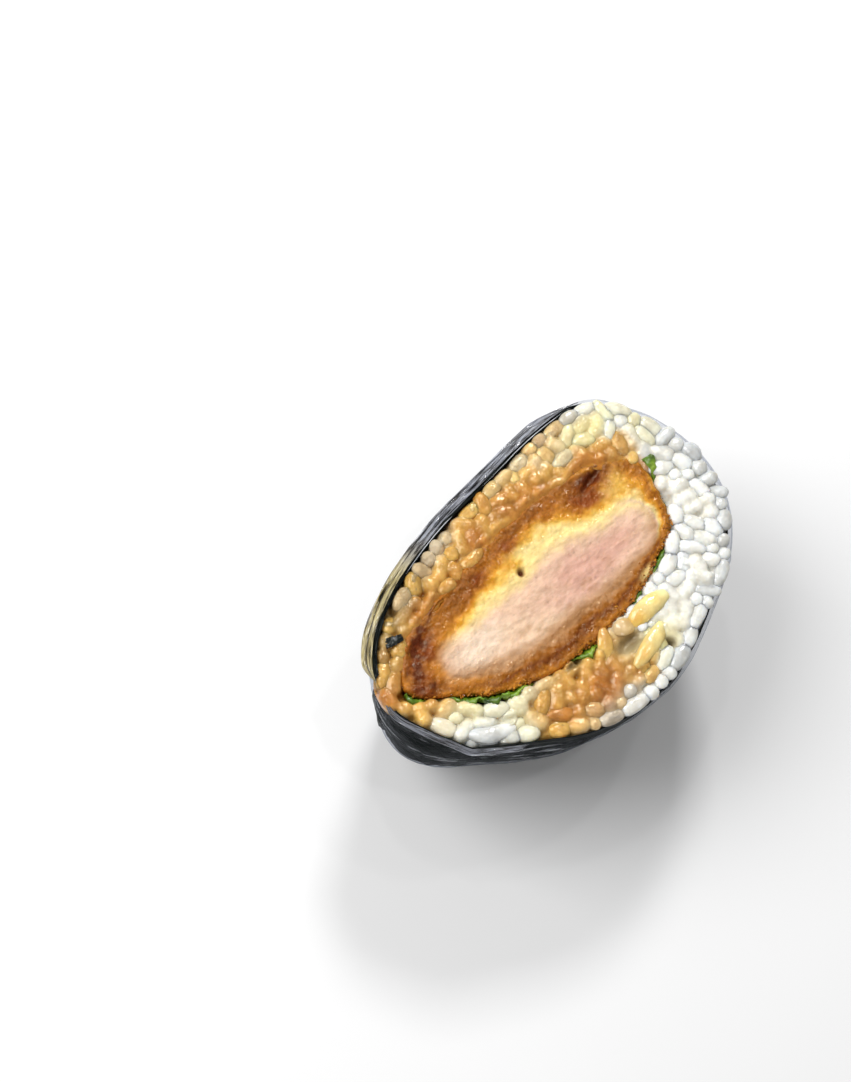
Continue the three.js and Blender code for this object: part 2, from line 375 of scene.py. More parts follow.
@dataclass(frozen=True)
class Lattice:
    """Numbers on an even lattice over the cut face, quick to read at any point."""

    low: Array
    spacing: float
    values: Array

    @classmethod
    def over(cls, outline: Outline, margin: float, spacing: float, value: float = 0.0) -> Lattice:
        """Lays a lattice of one number over an outline.

        Args:
            outline: The line to cover.
            margin: How far the lattice reaches past it, in mm.
            spacing: The lattice's step, in mm.
            value: The number everywhere.

        Returns:
            The lattice.
        """
        low = outline.loop.min(0) - margin
        count = np.ceil((outline.loop.max(0) + margin - low) / spacing).astype(int) + 1
        return cls(low, spacing, np.full(tuple(count), value))

    @classmethod
    def distance(cls, outline: Outline) -> Lattice:
        """Returns the distance inside an outline, as a lattice."""
        bare = cls.over(outline, 12.0, 0.5)
        return cls(bare.low, bare.spacing, outline.inside(bare.points()).reshape(bare.values.shape))

    def points(self) -> Array:
        """Returns the lattice's points as rows."""
        xs, ys = (self.low[k] + self.spacing * np.arange(self.values.shape[k]) for k in range(2))
        return np.stack(np.meshgrid(xs, ys, indexing="ij"), axis=2).reshape(-1, 2)

    def at(self, points: Array) -> Array:
        """Returns the number at each point, between the lattice's own."""
        scaled = (points[:, :2] - self.low) / self.spacing
        last = np.array(self.values.shape) - 2
        base = np.clip(np.floor(scaled).astype(int), 0, last)
        part = np.clip(scaled - base, 0, 1)
        i, j = base.T
        u, v = part.T
        values = self.values
        near = values[i, j] * (1 - u) + values[i + 1, j] * u
        far = values[i, j + 1] * (1 - u) + values[i + 1, j + 1] * u
        return near * (1 - v) + far * v

    def slope(self, points: Array) -> Array:
        """Returns the direction in which the number grows fastest at each point."""
        steps = np.eye(2) * self.spacing
        run = [self.at(points[:, :2] + step) - self.at(points[:, :2] - step) for step in steps]
        return unit(np.stack(run, axis=1))

    def raised(self, ball: Array, radius: float) -> None:
        """Raises the numbers to the top of a ball where it lies over them."""
        first = np.maximum(np.ceil((ball[:2] - radius - self.low) / self.spacing).astype(int), 0)
        last = np.floor((ball[:2] + radius - self.low) / self.spacing).astype(int) + 1
        patch = self.values[first[0] : last[0], first[1] : last[1]]
        if patch.size == 0:
            return
        steps = [first[k] + np.arange(patch.shape[k]) for k in range(2)]
        xs, ys = (self.low[k] + self.spacing * steps[k] - ball[k] for k in range(2))
        room = radius**2 - xs[:, None] ** 2 - ys[None, :] ** 2
        top = ball[2] + np.sqrt(np.maximum(room, 0.0))
        np.maximum(patch, np.where(room > 0, top, -np.inf), out=patch)

    def blurred(self, reach: float) -> Lattice:
        """Returns the lattice with its numbers evened out over a reach in mm."""
        half = int(math.ceil(2.5 * reach / self.spacing))
        weights = np.exp(-0.5 * (np.arange(-half, half + 1) * self.spacing / reach) ** 2)
        weights /= weights.sum()
        rows, columns = self.values.shape
        wide = np.pad(self.values, half, mode="edge")
        wide = sum(w * wide[k : k + rows] for k, w in enumerate(weights))
        wide = sum(w * wide[:, k : k + columns] for k, w in enumerate(weights))
        return Lattice(self.low, self.spacing, wide)


@dataclass(frozen=True)
class Net:
    """A fine flat net of square cells, with its edges drawn out to smooth lines."""

    points: Array
    faces: Faces
    edges: list[list[int]]

    @classmethod
    def between(cls, outer: Outline, hole: Outline | None, spacing: float) -> Net:
        """Fills an outline with cells.

        Args:
            outer: The line to fill.
            hole: A line to leave free inside it, if any.
            spacing: The cells' width, in mm.

        Returns:
            The net. Its edges are loops of points, the outer one first.
        """
        lattice = Lattice.over(outer, spacing, spacing)
        points = lattice.points()
        room = outer.inside(points)
        if hole is not None:
            room = np.minimum(room, -hole.inside(points))
        kept = (room > 0.4 * spacing).reshape(lattice.values.shape)
        full = kept[:-1, :-1] & kept[1:, :-1] & kept[:-1, 1:] & kept[1:, 1:]
        steps = ((0, 0), (1, 0), (1, 1), (0, 1))
        at = np.argwhere(full)
        numbers = np.full(kept.shape, -1)
        for di, dj in steps:
            numbers[at[:, 0] + di, at[:, 1] + dj] = 0
        used = numbers >= 0
        numbers[used] = np.arange(used.sum())
        points = points[used.ravel()]
        faces = np.stack([numbers[at[:, 0] + di, at[:, 1] + dj] for di, dj in steps], axis=1).tolist()
        edges = sorted(edge_loops(faces), key=len, reverse=True)[: 1 if hole is None else 2]
        for loop, line in zip(edges, (outer, hole)):
            points[loop] = [line.nearest(points[k]) for k in loop]
        return cls(points, faces, edges)


def edge_loops(faces: Faces) -> list[list[int]]:
    """Finds the open edges of a net.

    Args:
        faces: Corners of each face, counterclockwise.

    Returns:
        Loops of points, with the net on the left.
    """
    directed = {(f[k], f[(k + 1) % len(f)]) for f in faces for k in range(len(f))}
    following = {a: b for a, b in sorted(directed) if (b, a) not in directed}
    loops = []
    while following:
        start = next(iter(following))
        loop, at = [start], following.pop(start)
        while at != start and at in following:
            loop.append(at)
            at = following.pop(at)
        loops.append(loop)
    return loops


# ---- Closed skins ----


def band(first: Sequence[int], second: Sequence[int], closed: bool = True) -> Faces:
    """Joins two rows of points with faces.

    Args:
        first: The upper row, counterclockwise seen from above.
        second: The lower row, as long as the first.
        closed: True if each row is a ring.

    Returns:
        Faces that look away from the rings' middle.
    """
    count = len(first)
    pairs = [(i, (i + 1) % count) for i in range(count if closed else count - 1)]
    return [[first[i], second[i], second[k], first[k]] for i, k in pairs]


def bands(rows: Sequence[Sequence[int]], closed: bool = True) -> Faces:
    """Joins each row of points with the next."""
    return [face for a, b in itertools.pairwise(rows) for face in band(a, b, closed)]


def numbered(grid: Array, first: int = 0) -> list[list[int]]:
    """Numbers the points of a grid, row by row, from the first number on."""
    rows, columns = grid.shape[:2]
    return (first + np.arange(rows * columns)).reshape(rows, columns).tolist()


def lid(ring: Sequence[int], centre: int, up: bool) -> Faces:
    """Closes a ring with triangles round a centre point, looking up or down."""
    faces = [[centre, a, b] for a, b in zip(ring, [*ring[1:], ring[0]])]
    return faces if up else [f[::-1] for f in faces]


def closed_rings(rings: Array, drawn_out: float = 0.0) -> tuple[Array, Faces]:
    """Makes a closed skin from a stack of rings.

    Args:
        rings: Rings by points by 3, from the top down, counterclockwise from above.
        drawn_out: How far the two end points stand out past the end rings.

    Returns:
        Vertices and faces.
    """
    ends = rings[[0, -1]].mean(1)
    run = unit(ends[:1] - ends[1:]) * drawn_out
    ends = ends + np.vstack([run, -run])
    rows = numbered(rings)
    count = rows[-1][-1] + 1
    faces = bands(rows) + lid(rows[0], count, up=True) + lid(rows[-1], count + 1, up=False)
    return np.vstack([rings.reshape(-1, 3), ends]), faces


def cup(outer: Array, inner: Array) -> tuple[Array, Faces]:
    """Joins an outer and an inner skin into one closed thin cup, open at the top.

    Args:
        outer: Rings from the rim down to the middle of the underside.
        inner: The same rings, a wall's thickness further in.

    Returns:
        Vertices and faces.
    """
    skins = [outer.reshape(-1, 3), inner.reshape(-1, 3)]
    vertices = np.vstack([*skins, outer[-1:].mean(1), inner[-1:].mean(1)])
    count = len(vertices) - 2
    near, far = numbered(outer), numbered(inner, count // 2)
    faces = bands(near) + [face[::-1] for face in bands(far)]
    faces += lid(near[-1], count, up=False) + lid(far[-1], count + 1, up=True)
    return vertices, faces + band(far[0], near[0])


def gathered_cup(
    grid: Array, outward: Array, shares: Sequence[float], thickness: float, flat_rim: bool = False
) -> tuple[Array, Faces]:
    """Makes a cup whose lowest ring is drawn in towards its middle.

    Args:
        grid: The outer rings.
        outward: A direction for each of their points.
        shares: How wide each ring of the underside is, as a share of the lowest ring.
        thickness: The wall's thickness.
        flat_rim: True if the inner skin ends as high as the outer one.

    Returns:
        Vertices and faces.
    """
    under = grid[-1].mean(0)
    outer = np.concatenate([grid, np.stack([under + (grid[-1] - under) * share for share in shares])])
    down = np.tile([[[0.0, 0.0, -1.0]]], (len(shares), grid.shape[1], 1))
    inner = outer - np.concatenate([outward, down]) * thickness
    if flat_rim:
        inner[0, :, 2] = outer[0, :, 2]
    return cup(outer, inner)


def border(rows: Faces) -> list[int]:
    """Returns the numbers round the edge of a grid of them."""
    n = np.array(rows)
    return np.concatenate([n[0], n[1:, -1], n[-1, -2::-1], n[-2:0:-1, 0]]).tolist()


def sheet(front: Array, back: Array) -> tuple[Array, Faces]:
    """Joins the two sides of a thin open sheet into one closed skin.

    Args:
        front: Rows by columns by 3; its face looks along rows crossed with columns.
        back: The same grid, a thickness behind the front.

    Returns:
        Vertices and faces.
    """
    near, far = numbered(front), numbered(back, front[..., 0].size)
    faces = bands(near, closed=False) + [face[::-1] for face in bands(far, closed=False)]
    faces += band(border(far), border(near))
    return np.vstack([front.reshape(-1, 3), back.reshape(-1, 3)]), faces


def enclosed(vertices: Array, faces: Faces) -> float:
    """Returns the volume inside a closed skin, negative if its faces look inwards."""
    fans = [(face[0], face[k], face[k + 1]) for face in faces for k in range(1, len(face) - 1)]
    a, b, c = (vertices[list(corner)] for corner in zip(*fans))
    return float((np.cross(a, b) * c).sum() / 6)


def skin_normals(grid: Array) -> Array:
    """Returns outward directions on rings that run downwards, counterclockwise from above."""
    around = np.roll(grid, -1, axis=1) - np.roll(grid, 1, axis=1)
    return unit(np.cross(np.gradient(grid, axis=0), around))


def eased(row: Array, width: int) -> Array:
    """Evens out a closed row over a few neighbours on each side."""
    return sum(np.roll(row, k, axis=0) for k in range(-width, width + 1)) / (2 * width + 1)


# ---- The frame's place ----


@dataclass
class Place:
    """Where the cut face lies in the frame, and how a shape in mm becomes a piece there."""

    face_offset: tuple[float, float] = (-0.5, 0.0)
    origin: Array = field(init=False)

    def __post_init__(self) -> None:
        """Finds the middle of the cut face from the nori's box."""
        low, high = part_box("nori")
        middle = [(low[k] + high[k]) / 2 / MM + self.face_offset[k] for k in range(2)]
        self.origin = np.array([*middle, high.z / MM])

    def local(self, node: str) -> tuple[Array, list[tuple[int, ...]]]:
        """Reads a node of the frame.

        Args:
            node: The node's name.

        Returns:
            Its vertices in mm from the middle of the face, and its faces.
        """
        mesh = bpy.data.objects[node].data
        flat = np.zeros(3 * len(mesh.vertices))
        mesh.vertices.foreach_get("co", flat)
        return flat.reshape(-1, 3) / MM - self.origin, [tuple(p.vertices) for p in mesh.polygons]

    def mesh(self, name: str, vertices: Array, faces: Faces, **values: Array) -> Mesh:
        """Makes a mesh of points in mm, faces and attributes."""
        mesh = bpy.data.meshes.new(name)
        mesh.from_pydata(((vertices + self.origin) * MM).tolist(), [], faces)
        for key, data in values.items():
            put_attribute(mesh, key, data)
        return mesh

    def make(self, name: str, finish: Finish, vertices: Array, faces: Faces, **values: Array) -> Piece:
        """Makes a smooth-shaded piece.

        Args:
            name: The piece's name.
            finish: Its finish.
            vertices: Points in mm from the middle of the face.
            faces: Corners of each face.
            **values: Attributes, one number or one colour for each vertex.

        Returns:
            The object, at the origin, with its place in its mesh.
        """
        if enclosed(vertices - vertices.mean(0), faces) < 0:
            faces = [face[::-1] for face in faces]
        mesh = self.mesh(name, vertices, faces, **values)
        mesh.shade_smooth()
        mesh.validate()
        mesh.materials.append(finish.material())
        return in_scene(name, mesh)

    def adopt(self, piece: Piece, node: str) -> None:
        """Puts a finished piece on the frame in place of a node."""
        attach(piece, BODY)
        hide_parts(node)
        triangles = sum(len(p.vertices) - 2 for p in piece.data.polygons)
        LOG.info("%s: %d triangles, stands for %s", piece.name, triangles, node)

    def fit(
        self, node: str, name: str, finish: Finish, vertices: Array, faces: Faces, **values: Array
    ) -> None:
        """Makes a piece, as make does, and puts it on the frame in place of a node."""
        self.adopt(self.make(name, finish, vertices, faces, **values), node)


def in_scene(name: str, mesh: Mesh) -> Piece:
    """Makes an object of a mesh and puts it in the scene."""
    piece = bpy.data.objects.new(name, mesh)
    bpy.context.scene.collection.objects.link(piece)
    return piece


def loose_shape(name: str, vertices: Array, faces: Faces) -> Piece:
    """Makes a small smooth object outside the scene, for a scatter to repeat."""
    mesh = bpy.data.meshes.new(name)
    mesh.from_pydata(vertices.tolist(), [], faces)
    mesh.shade_smooth()
    return bpy.data.objects.new(name, mesh)


def put_attribute(mesh: Mesh, key: str, data: Array) -> None:
    """Gives each vertex of a mesh a number, a whole number, a colour or a vector.

    Args:
        mesh: The mesh.
        key: The attribute's name. One that starts with "way_" is a vector and not a colour.
        data: One row for each vertex.
    """
    kind, part = "FLOAT_VECTOR", "vector"
    if data.ndim == 1:
        kind, part = "INT" if data.dtype.kind == "i" else "FLOAT", "value"
    elif not key.startswith("way_"):
        kind, part = "FLOAT_COLOR", "color"
        data = np.hstack([data, np.ones((len(data), 1))])
    layer = mesh.attributes.new(key, kind, "POINT")
    layer.data.foreach_set(part, data.astype(np.int32 if kind == "INT" else np.float32).ravel())


@dataclass
class Wall:
    """The side of a node of the frame, read as rings round an upright axis."""

    place: Place
    node: str
    far: float = 120.0

    def __post_init__(self) -> None:
        """Builds the search tree of the node's faces."""
        vertices, faces = self.place.local(self.node)
        self.tree = BVHTree.FromPolygons([Vector(v) for v in vertices], faces)
        self.low = float(vertices[:, 2].min())

    def ring(self, height: float, angles: Array) -> Array:
        """Finds the wall all the way round at one height.

        Args:
            height: Height in mm, 0 at the face.
            angles: Directions round the axis, in radians.

        Returns:
            One point for each direction. A direction where the wall is open is bridged.
        """
        reach = np.full(len(angles), np.nan)
        for k, angle in enumerate(angles):
            out = Vector((math.cos(angle), math.sin(angle), 0.0))
            hit, _, _, _ = self.tree.ray_cast(out * self.far + Vector((0.0, 0.0, height)), -out)
            if hit is not None and hit.to_2d().dot(out.to_2d()) > 5.0:
                reach[k] = hit.to_2d().length
        known = np.isfinite(reach)
        reach = np.interp(angles, angles[known], reach[known], period=math.tau)
        return np.stack([np.cos(angles), np.sin(angles)], axis=1) * reach[:, None]

    def skin(self, angles: Array, heights: Array) -> Array:
        """Returns the wall's points as rings, for all heights and angles."""
        rings = [np.column_stack([self.ring(h, angles), np.full(len(angles), h)]) for h in heights]
        return np.stack(rings)


def all_round(count: int) -> Array:
    """Returns even angles all the way round the middle."""
    return np.linspace(-math.pi, math.pi, count, endpoint=False)


def directions(outline: Outline, count: int) -> Array:
    """Returns angles round the middle, in order, that space points evenly along an outline."""
    line = resample(outline.loop, count)
    return np.sort(np.arctan2(line[:, 1], line[:, 0]))


# ---- Shader and node building ----


class Term:
    """A number or colour in a node tree that Python's operators work on."""

    def __init__(self, graph: Graph, socket: bpy.types.NodeSocket) -> None:
        """Wraps a socket of a graph."""
        self.graph = graph
        self.socket = socket

    def math(self, operation: str, *others: Term | float) -> Term:
        """Returns the result of a Math node with this term first."""
        inputs = dict(enumerate((self, *others)))
        return self.graph.node("ShaderNodeMath", {"operation": operation}, inputs)

    def __add__(self, other: Term | float) -> Term:
        """Adds."""
        return self.math("ADD", other)

    __radd__ = __add__

    def __mul__(self, other: Term | float) -> Term:
        """Multiplies."""
        return self.math("MULTIPLY", other)

    __rmul__ = __mul__

    def __sub__(self, other: Term | float) -> Term:
        """Subtracts."""
        return self.math("SUBTRACT", other)

    def __rsub__(self, other: float) -> Term:
        """Subtracts this from a number."""
        return self * -1.0 + other

    def clamped(self) -> Term:
        """Returns the term kept between 0 and 1."""
        return self.math("MAXIMUM", 0.0).math("MINIMUM", 1.0)

    def stretched(self, low: float, high: float) -> Term:
        """Returns 0 at low and 1 at high, kept between them."""
        return ((self - low) * (1.0 / (high - low))).clamped()


class Graph:
    """A node tree with short ways to add nodes."""

    def __init__(self, tree: bpy.types.NodeTree) -> None:
        """Wraps an empty tree."""
        self.tree = tree

    def node(
        self,
        kind: str,
        settings: Mapping[str, object] | None = None,
        inputs: Inputs | None = None,
        output: str | int = 0,
    ) -> Term:
        """Adds a node.

        Args:
            kind: The node's type.
            settings: Its settings, set before its sockets. "stops" fills a colour ramp.
            inputs: Values or links for its sockets, by name or number. A list links them all.
            output: The socket to return.

        Returns:
            That socket as a term.
        """
        made = self.tree.nodes.new(kind)
        for key, value in (settings or {}).items():
            if key == "stops":
                self._fill(made.color_ramp, value)
            else:
                setattr(made, key, value)
        for key, value in (inputs or {}).items():
            if isinstance(value, (Term, list)):
                for term in value if isinstance(value, list) else [value]:
                    self.tree.links.new(term.socket, made.inputs[key])
            else:
                made.inputs[key].default_value = value
        return Term(self, made.outputs[output])

    @staticmethod
    def _fill(band_of_colour: bpy.types.ColorRamp, stops: Sequence[tuple[float, Sequence[float]]]) -> None:
        """Sets a colour ramp's stops."""
        while len(band_of_colour.elements) < len(stops):
            band_of_colour.elements.new(0.5)
        for element, (place, colour) in zip(band_of_colour.elements, stops):
            element.position = place
            element.color = (*colour[:3], 1.0)

    def mix(self, first: object, second: object, share: Term | float, how: str = "MIX") -> Term:
        """Returns two colours mixed by a share."""
        settings = {"data_type": "RGBA", "blend_type": how, "clamp_result": False}
        return self.node("ShaderNodeMix", settings, {0: share, 6: first, 7: second}, 2)

    def shaded(self, colour: Term, dark: float, light: float, share: Term) -> Term:
        """Returns a colour made darker or lighter by a share, warmer where it is darker."""
        low = (dark, dark * dark**0.15, dark * dark**0.35, 1.0)
        return self.mix(colour, self.mix(low, (light, light, light, 1.0), share), 1.0, "MULTIPLY")

    def place(self, stretch: Sequence[float] = (1.0, 1.0, 1.0), turn: float = 0.0) -> Term:
        """Returns object coordinates in mm, stretched, and turned about Z by an angle."""
        raw = self.node("ShaderNodeTexCoord", output="Object")
        inputs = {"Vector": raw, "Rotation": (0.0, 0.0, turn), "Scale": tuple(s / MM for s in stretch)}
        return self.node("ShaderNodeMapping", {"vector_type": "POINT"}, inputs)

    def speckle(self, at: Term, per_mm: float, detail: float = 2.0, rough: float = 0.5) -> Term:
        """Returns noise from 0 to 1 with that many lumps in a mm."""
        inputs = {"Vector": at, "Scale": per_mm, "Detail": detail, "Roughness": rough}
        return self.node("ShaderNodeTexNoise", {}, inputs, "Fac")

    def attribute(self, name: str, output: str = "Fac") -> Term:
        """Returns a mesh attribute, its Color or its Fac."""
        return self.node("ShaderNodeAttribute", {"attribute_name": name}, output=output)

    def bump(self, height: Term, depth: float, strength: float = 1.0) -> Term:
        """Returns a normal from a height, with its depth in mm."""
        inputs = {"Height": height, "Distance": depth * MM, "Strength": strength}
        return self.node("ShaderNodeBump", {}, inputs)

    def finish(self, kind: str, inputs: Inputs) -> None:
        """Adds the last shader and connects it to the output."""
        shader = self.node(kind, {}, inputs)
        end = self.tree.nodes.new("ShaderNodeOutputMaterial")
        self.tree.links.new(shader.socket, end.inputs["Surface"])

    def skin(self, inputs: Inputs) -> None:
        """Adds the principled shader as the last one."""
        self.finish("ShaderNodeBsdfPrincipled", inputs)


@dataclass
class Recipe:
    """A Geometry Nodes tree under construction, with named inputs."""

    name: str
    graph: Graph = field(init=False)

    def __post_init__(self) -> None:
        """Starts the tree with its geometry in and out."""
        tree = bpy.data.node_groups.new(self.name, "GeometryNodeTree")
        for side in ("INPUT", "OUTPUT"):
            tree.interface.new_socket("Geometry", in_out=side, socket_type="NodeSocketGeometry")
        self.graph = Graph(tree)
        self.start = tree.nodes.new("NodeGroupInput")
        self.source = Term(self.graph, self.start.outputs[0])

    def number(self, name: str, kind: str = "NodeSocketFloat") -> Term:
        """Adds a named input and returns it."""
        self.graph.tree.interface.new_socket(name, in_out="INPUT", socket_type=kind)
        return Term(self.graph, self.start.outputs[name])

    def read(self, name: str, kind: str) -> Term:
        """Returns a named attribute of the points."""
        settings = {"data_type": kind}
        return self.graph.node("GeometryNodeInputNamedAttribute", settings, {"Name": name})

    def scattered(self, shapes: Sequence[Piece], turn: Term, size: Term) -> Term:
        """Sets an object on each point, picked by the point's "shape", and makes them all real.

        Args:
            shapes: The objects to pick from.
            turn: Each one's angles.
            size: Each one's size.

        Returns:
            The real geometry.
        """
        g, kind = self.graph, "GeometryNodeObjectInfo"
        library = [g.node(kind, {}, {"Object": s, "As Instance": True}, "Geometry") for s in shapes]
        inputs = {
            "Points": self.source,
            "Instance": g.node("GeometryNodeJoinGeometry", {}, {0: library}),
            "Pick Instance": True,
            "Instance Index": self.read("shape", "INT"),
            "Rotation": turn,
            "Scale": size,
        }
        placed = g.node("GeometryNodeInstanceOnPoints", {}, inputs)
        return g.node("GeometryNodeRealizeInstances", {}, {"Geometry": placed})

    def run(self, name: str, result: Term, finish: Finish, mesh: Mesh, values: Inputs) -> Piece:
        """Ends the tree, runs it on a mesh and keeps the result as a plain mesh.

        Args:
            name: The new piece's name.
            result: The geometry to keep.
            finish: The finish that the tree sets.
            mesh: What the tree works on.
            values: The named inputs' values.

        Returns:
            The piece, with no modifier.
        """
        inputs = {"Geometry": result, "Material": finish.material()}
        real = self.graph.node("GeometryNodeSetMaterial", {}, inputs)
        end = self.graph.tree.nodes.new("NodeGroupOutput")
        self.graph.tree.links.new(real.socket, end.inputs[0])
        source = in_scene(f"{name}_source", mesh)
        modifier = source.modifiers.new(self.name, "NODES")
        modifier.node_group = self.graph.tree
        for item in self.graph.tree.interface.items_tree:
            if item.in_out == "INPUT" and item.name in values:
                modifier[item.identifier] = values[item.name]
        view = bpy.context.evaluated_depsgraph_get()
        made = bpy.data.meshes.new_from_object(source.evaluated_get(view), depsgraph=view)
        made.name = name
        bpy.data.objects.remove(source)
        return in_scene(name, made)


# ---- Finishes ----


@dataclass(frozen=True)
class Finish:
    """A surface finish, drawn with shader nodes."""

    name: str

    def material(self) -> Material:
        """Returns the finished material."""
        material = bpy.data.materials.new(self.name)
        material.use_nodes = True
        material.node_tree.nodes.clear()
        self.draw(Graph(material.node_tree))
        return material

    def draw(self, g: Graph) -> None:
        """Draws the finish with the nodes of a graph."""
        raise NotImplementedError


@dataclass(frozen=True)
class RiceFinish(Finish):
    """Boiled rice: moist and slightly see-through, tinted by its own attribute."""

    wet: float = 0.3
    see_in: float = 0.85
    depth_mm: float = 1.6
    dark: float = 0.86
    rough: float = 0.24
    glint: tuple[float, float, float] = (1.0, 1.0, 1.0)

    def draw(self, g: Graph) -> None:
        """Draws the finish."""
        at = g.place()
        cloud = g.speckle(at, 0.36, 3.0)
        bead = g.speckle(at, 0.85, 1.0)
        fine = g.speckle(at, 1.9, 3.0, 0.6)
        colour = g.shaded(g.attribute("tint", "Color"), self.dark, 1.08, cloud.stretched(0.36, 0.62))
        g.skin({
            "Base Color": colour,
            "Roughness": 0.06 + fine * 0.16,
            "Subsurface Weight": self.see_in,
            "Subsurface Radius": (1.0, 0.9, 0.75),
            "Subsurface Scale": self.depth_mm * MM,
            "Specular IOR Level": 0.75,
            "Specular Tint": (*self.glint, 1.0),
            "Coat Weight": self.wet * 0.3,
            "Coat Roughness": 0.06,
            "IOR": 1.45,
            "Normal": g.bump(bead * 0.8 + fine * 0.2, self.rough, 0.9),
        })


@dataclass(frozen=True)
class CutletFinish(Finish):
    """Cut pork and its breading: fibrous where it is meat, grainy where it is crust."""

    name: str = "cutlet"
    fibre_turn: float = 0.1

    def draw(self, g: Graph) -> None:
        """Draws the finish."""
        at = g.place()
        along = g.place((0.5, 1.2, 1.0), self.fibre_turn)
        soft_part, wet = g.attribute("soft"), g.attribute("wet")
        tint = g.attribute("tint", "Color")
        fibre = g.speckle(along, 0.7, 5.0, 0.6)
        grit = g.speckle(at, 1.4, 4.0, 0.66)
        fine = g.speckle(at, 6.0, 2.0)
        bead = g.speckle(at, 1.6, 1.0)
        soft = g.shaded(tint, 0.82, 1.07, fibre.stretched(0.34, 0.62))
        harsh = g.shaded(tint, 0.72, 1.16, grit.stretched(0.34, 0.66))
        height = g.node("ShaderNodeMix", {"data_type": "FLOAT"}, {0: soft_part, 2: grit, 3: fibre * 0.4})
        height = g.node("ShaderNodeMix", {"data_type": "FLOAT"}, {0: wet, 2: height, 3: bead})
        g.skin({
            "Base Color": g.mix(harsh, soft, soft_part),
            "Roughness": (0.62 - wet * 0.58 + (fine - 0.5) * 0.16).clamped(),
            "Subsurface Weight": 0.35,
            "Subsurface Radius": (1.0, 0.66, 0.42),
            "Subsurface Scale": 1.0 * MM,
            "Specular IOR Level": 0.42,
            "Specular Tint": (1.0, 0.8, 0.5, 1.0),
            "Coat Weight": wet * 0.12,
            "Coat Roughness": 0.06,
            "Normal": g.bump(height + fine * 0.12, 0.3, 0.9),
        })


@dataclass(frozen=True)
class CrumbFinish(Finish):
    """Loose breadcrumbs, glistening with fat."""

    name: str = "crumbs"

    def draw(self, g: Graph) -> None:
        """Draws the finish."""
        grit = g.speckle(g.place(), 3.0, 3.0, 0.7)
        g.skin({
            "Base Color": g.shaded(g.attribute("tint", "Color"), 0.6, 1.05, grit.stretched(0.35, 0.65)),
            "Roughness": 0.2 + grit * 0.4,
            "Subsurface Weight": 0.3,
            "Subsurface Radius": (1.0, 0.6, 0.3),
            "Subsurface Scale": 0.6 * MM,
            "Specular IOR Level": 0.2,
            "Coat Weight": 0.35,
            "Coat Roughness": 0.08,
            "Normal": g.bump(grit, 0.2, 0.8),
        })


@dataclass(frozen=True)
class LeafFinish(Finish):
    """A moist green leaf, tinted by its own attribute."""

    name: str = "leaf"

    def draw(self, g: Graph) -> None:
        """Draws the finish."""
        mottle = g.speckle(g.place(), 0.9, 4.0)
        vein = g.speckle(g.place((1.0, 1.0, 0.4)), 1.8, 3.0)
        g.skin({
            "Base Color": g.shaded(g.attribute("tint", "Color"), 0.7, 1.2, mottle.stretched(0.3, 0.7)),
            "Roughness": 0.24 + mottle * 0.25,
            "Subsurface Weight": 0.15,
            "Subsurface Radius": (0.8, 1.0, 0.2),
            "Subsurface Scale": 0.6 * MM,
            "Coat Weight": 0.3,
            "Coat Roughness": 0.12,
            "Normal": g.bump(vein, 0.25, 0.7),
        })


@dataclass(frozen=True)
class NoriFinish(Finish):
    """A pressed seaweed sheet: near black, with a green cast and a dull sheen."""

    name: str = "nori"
    wet: float = 0.1

    def draw(self, g: Graph) -> None:
        """Draws the finish."""
        at = g.place()
        pressed = g.speckle(at, 0.7, 5.0, 0.65)
        crease = g.speckle(g.place((0.16, 0.16, 1.0)), 1.1, 3.0, 0.6)
        fine = g.speckle(at, 3.6, 3.0, 0.7)
        stops = [(0.3, (0.002, 0.003, 0.003)), (0.6, (0.006, 0.009, 0.007)), (0.8, (0.02, 0.026, 0.018))]
        g.skin({
            "Base Color": g.node("ShaderNodeValToRGB", {"stops": stops}, {0: pressed}),
            "Roughness": 0.36 + fine * 0.3,
            "IOR": 1.16,
            "Coat Weight": self.wet,
            "Coat Roughness": 0.12,
            "Coat IOR": 1.4,
            "Normal": g.bump(crease * 0.7 + pressed * 0.3 + fine * 0.2, 0.6, 0.8),
        })


@dataclass(frozen=True)
class FilmFinish(Finish):
    """Clear wrapping film: see-through, with bright reflections on its creases."""

    name: str = "film"
    gloss: float = 0.55
    clear: tuple[float, float, float] = (0.86, 0.87, 0.89)

    def draw(self, g: Graph) -> None:
        """Draws the finish."""
        ripple = g.speckle(g.place((0.5, 0.5, 0.5)), 0.4, 2.0)
        crease = g.speckle(g.place((0.14, 0.14, 1.0)), 0.8, 3.0, 0.6)
        normal = g.bump(ripple * 0.5 + crease * 0.5, 0.8, 0.9)
        shine = {"Color": (0.92, 0.93, 0.95, 1.0), "Roughness": 0.08, "Normal": normal}
        gloss = g.node("ShaderNodeBsdfAnisotropic", {}, shine)
        clear = g.node("ShaderNodeBsdfTransparent", {}, {"Color": (*self.clear, 1.0)})
        facing = g.node("ShaderNodeLayerWeight", {}, {"Blend": 0.14, "Normal": normal}, "Fresnel")
        streak = 0.03 + 0.97 * crease.stretched(0.57, 0.7)
        g.finish("ShaderNodeMixShader", {0: (facing * streak * self.gloss).clamped(), 1: clear, 2: gloss})


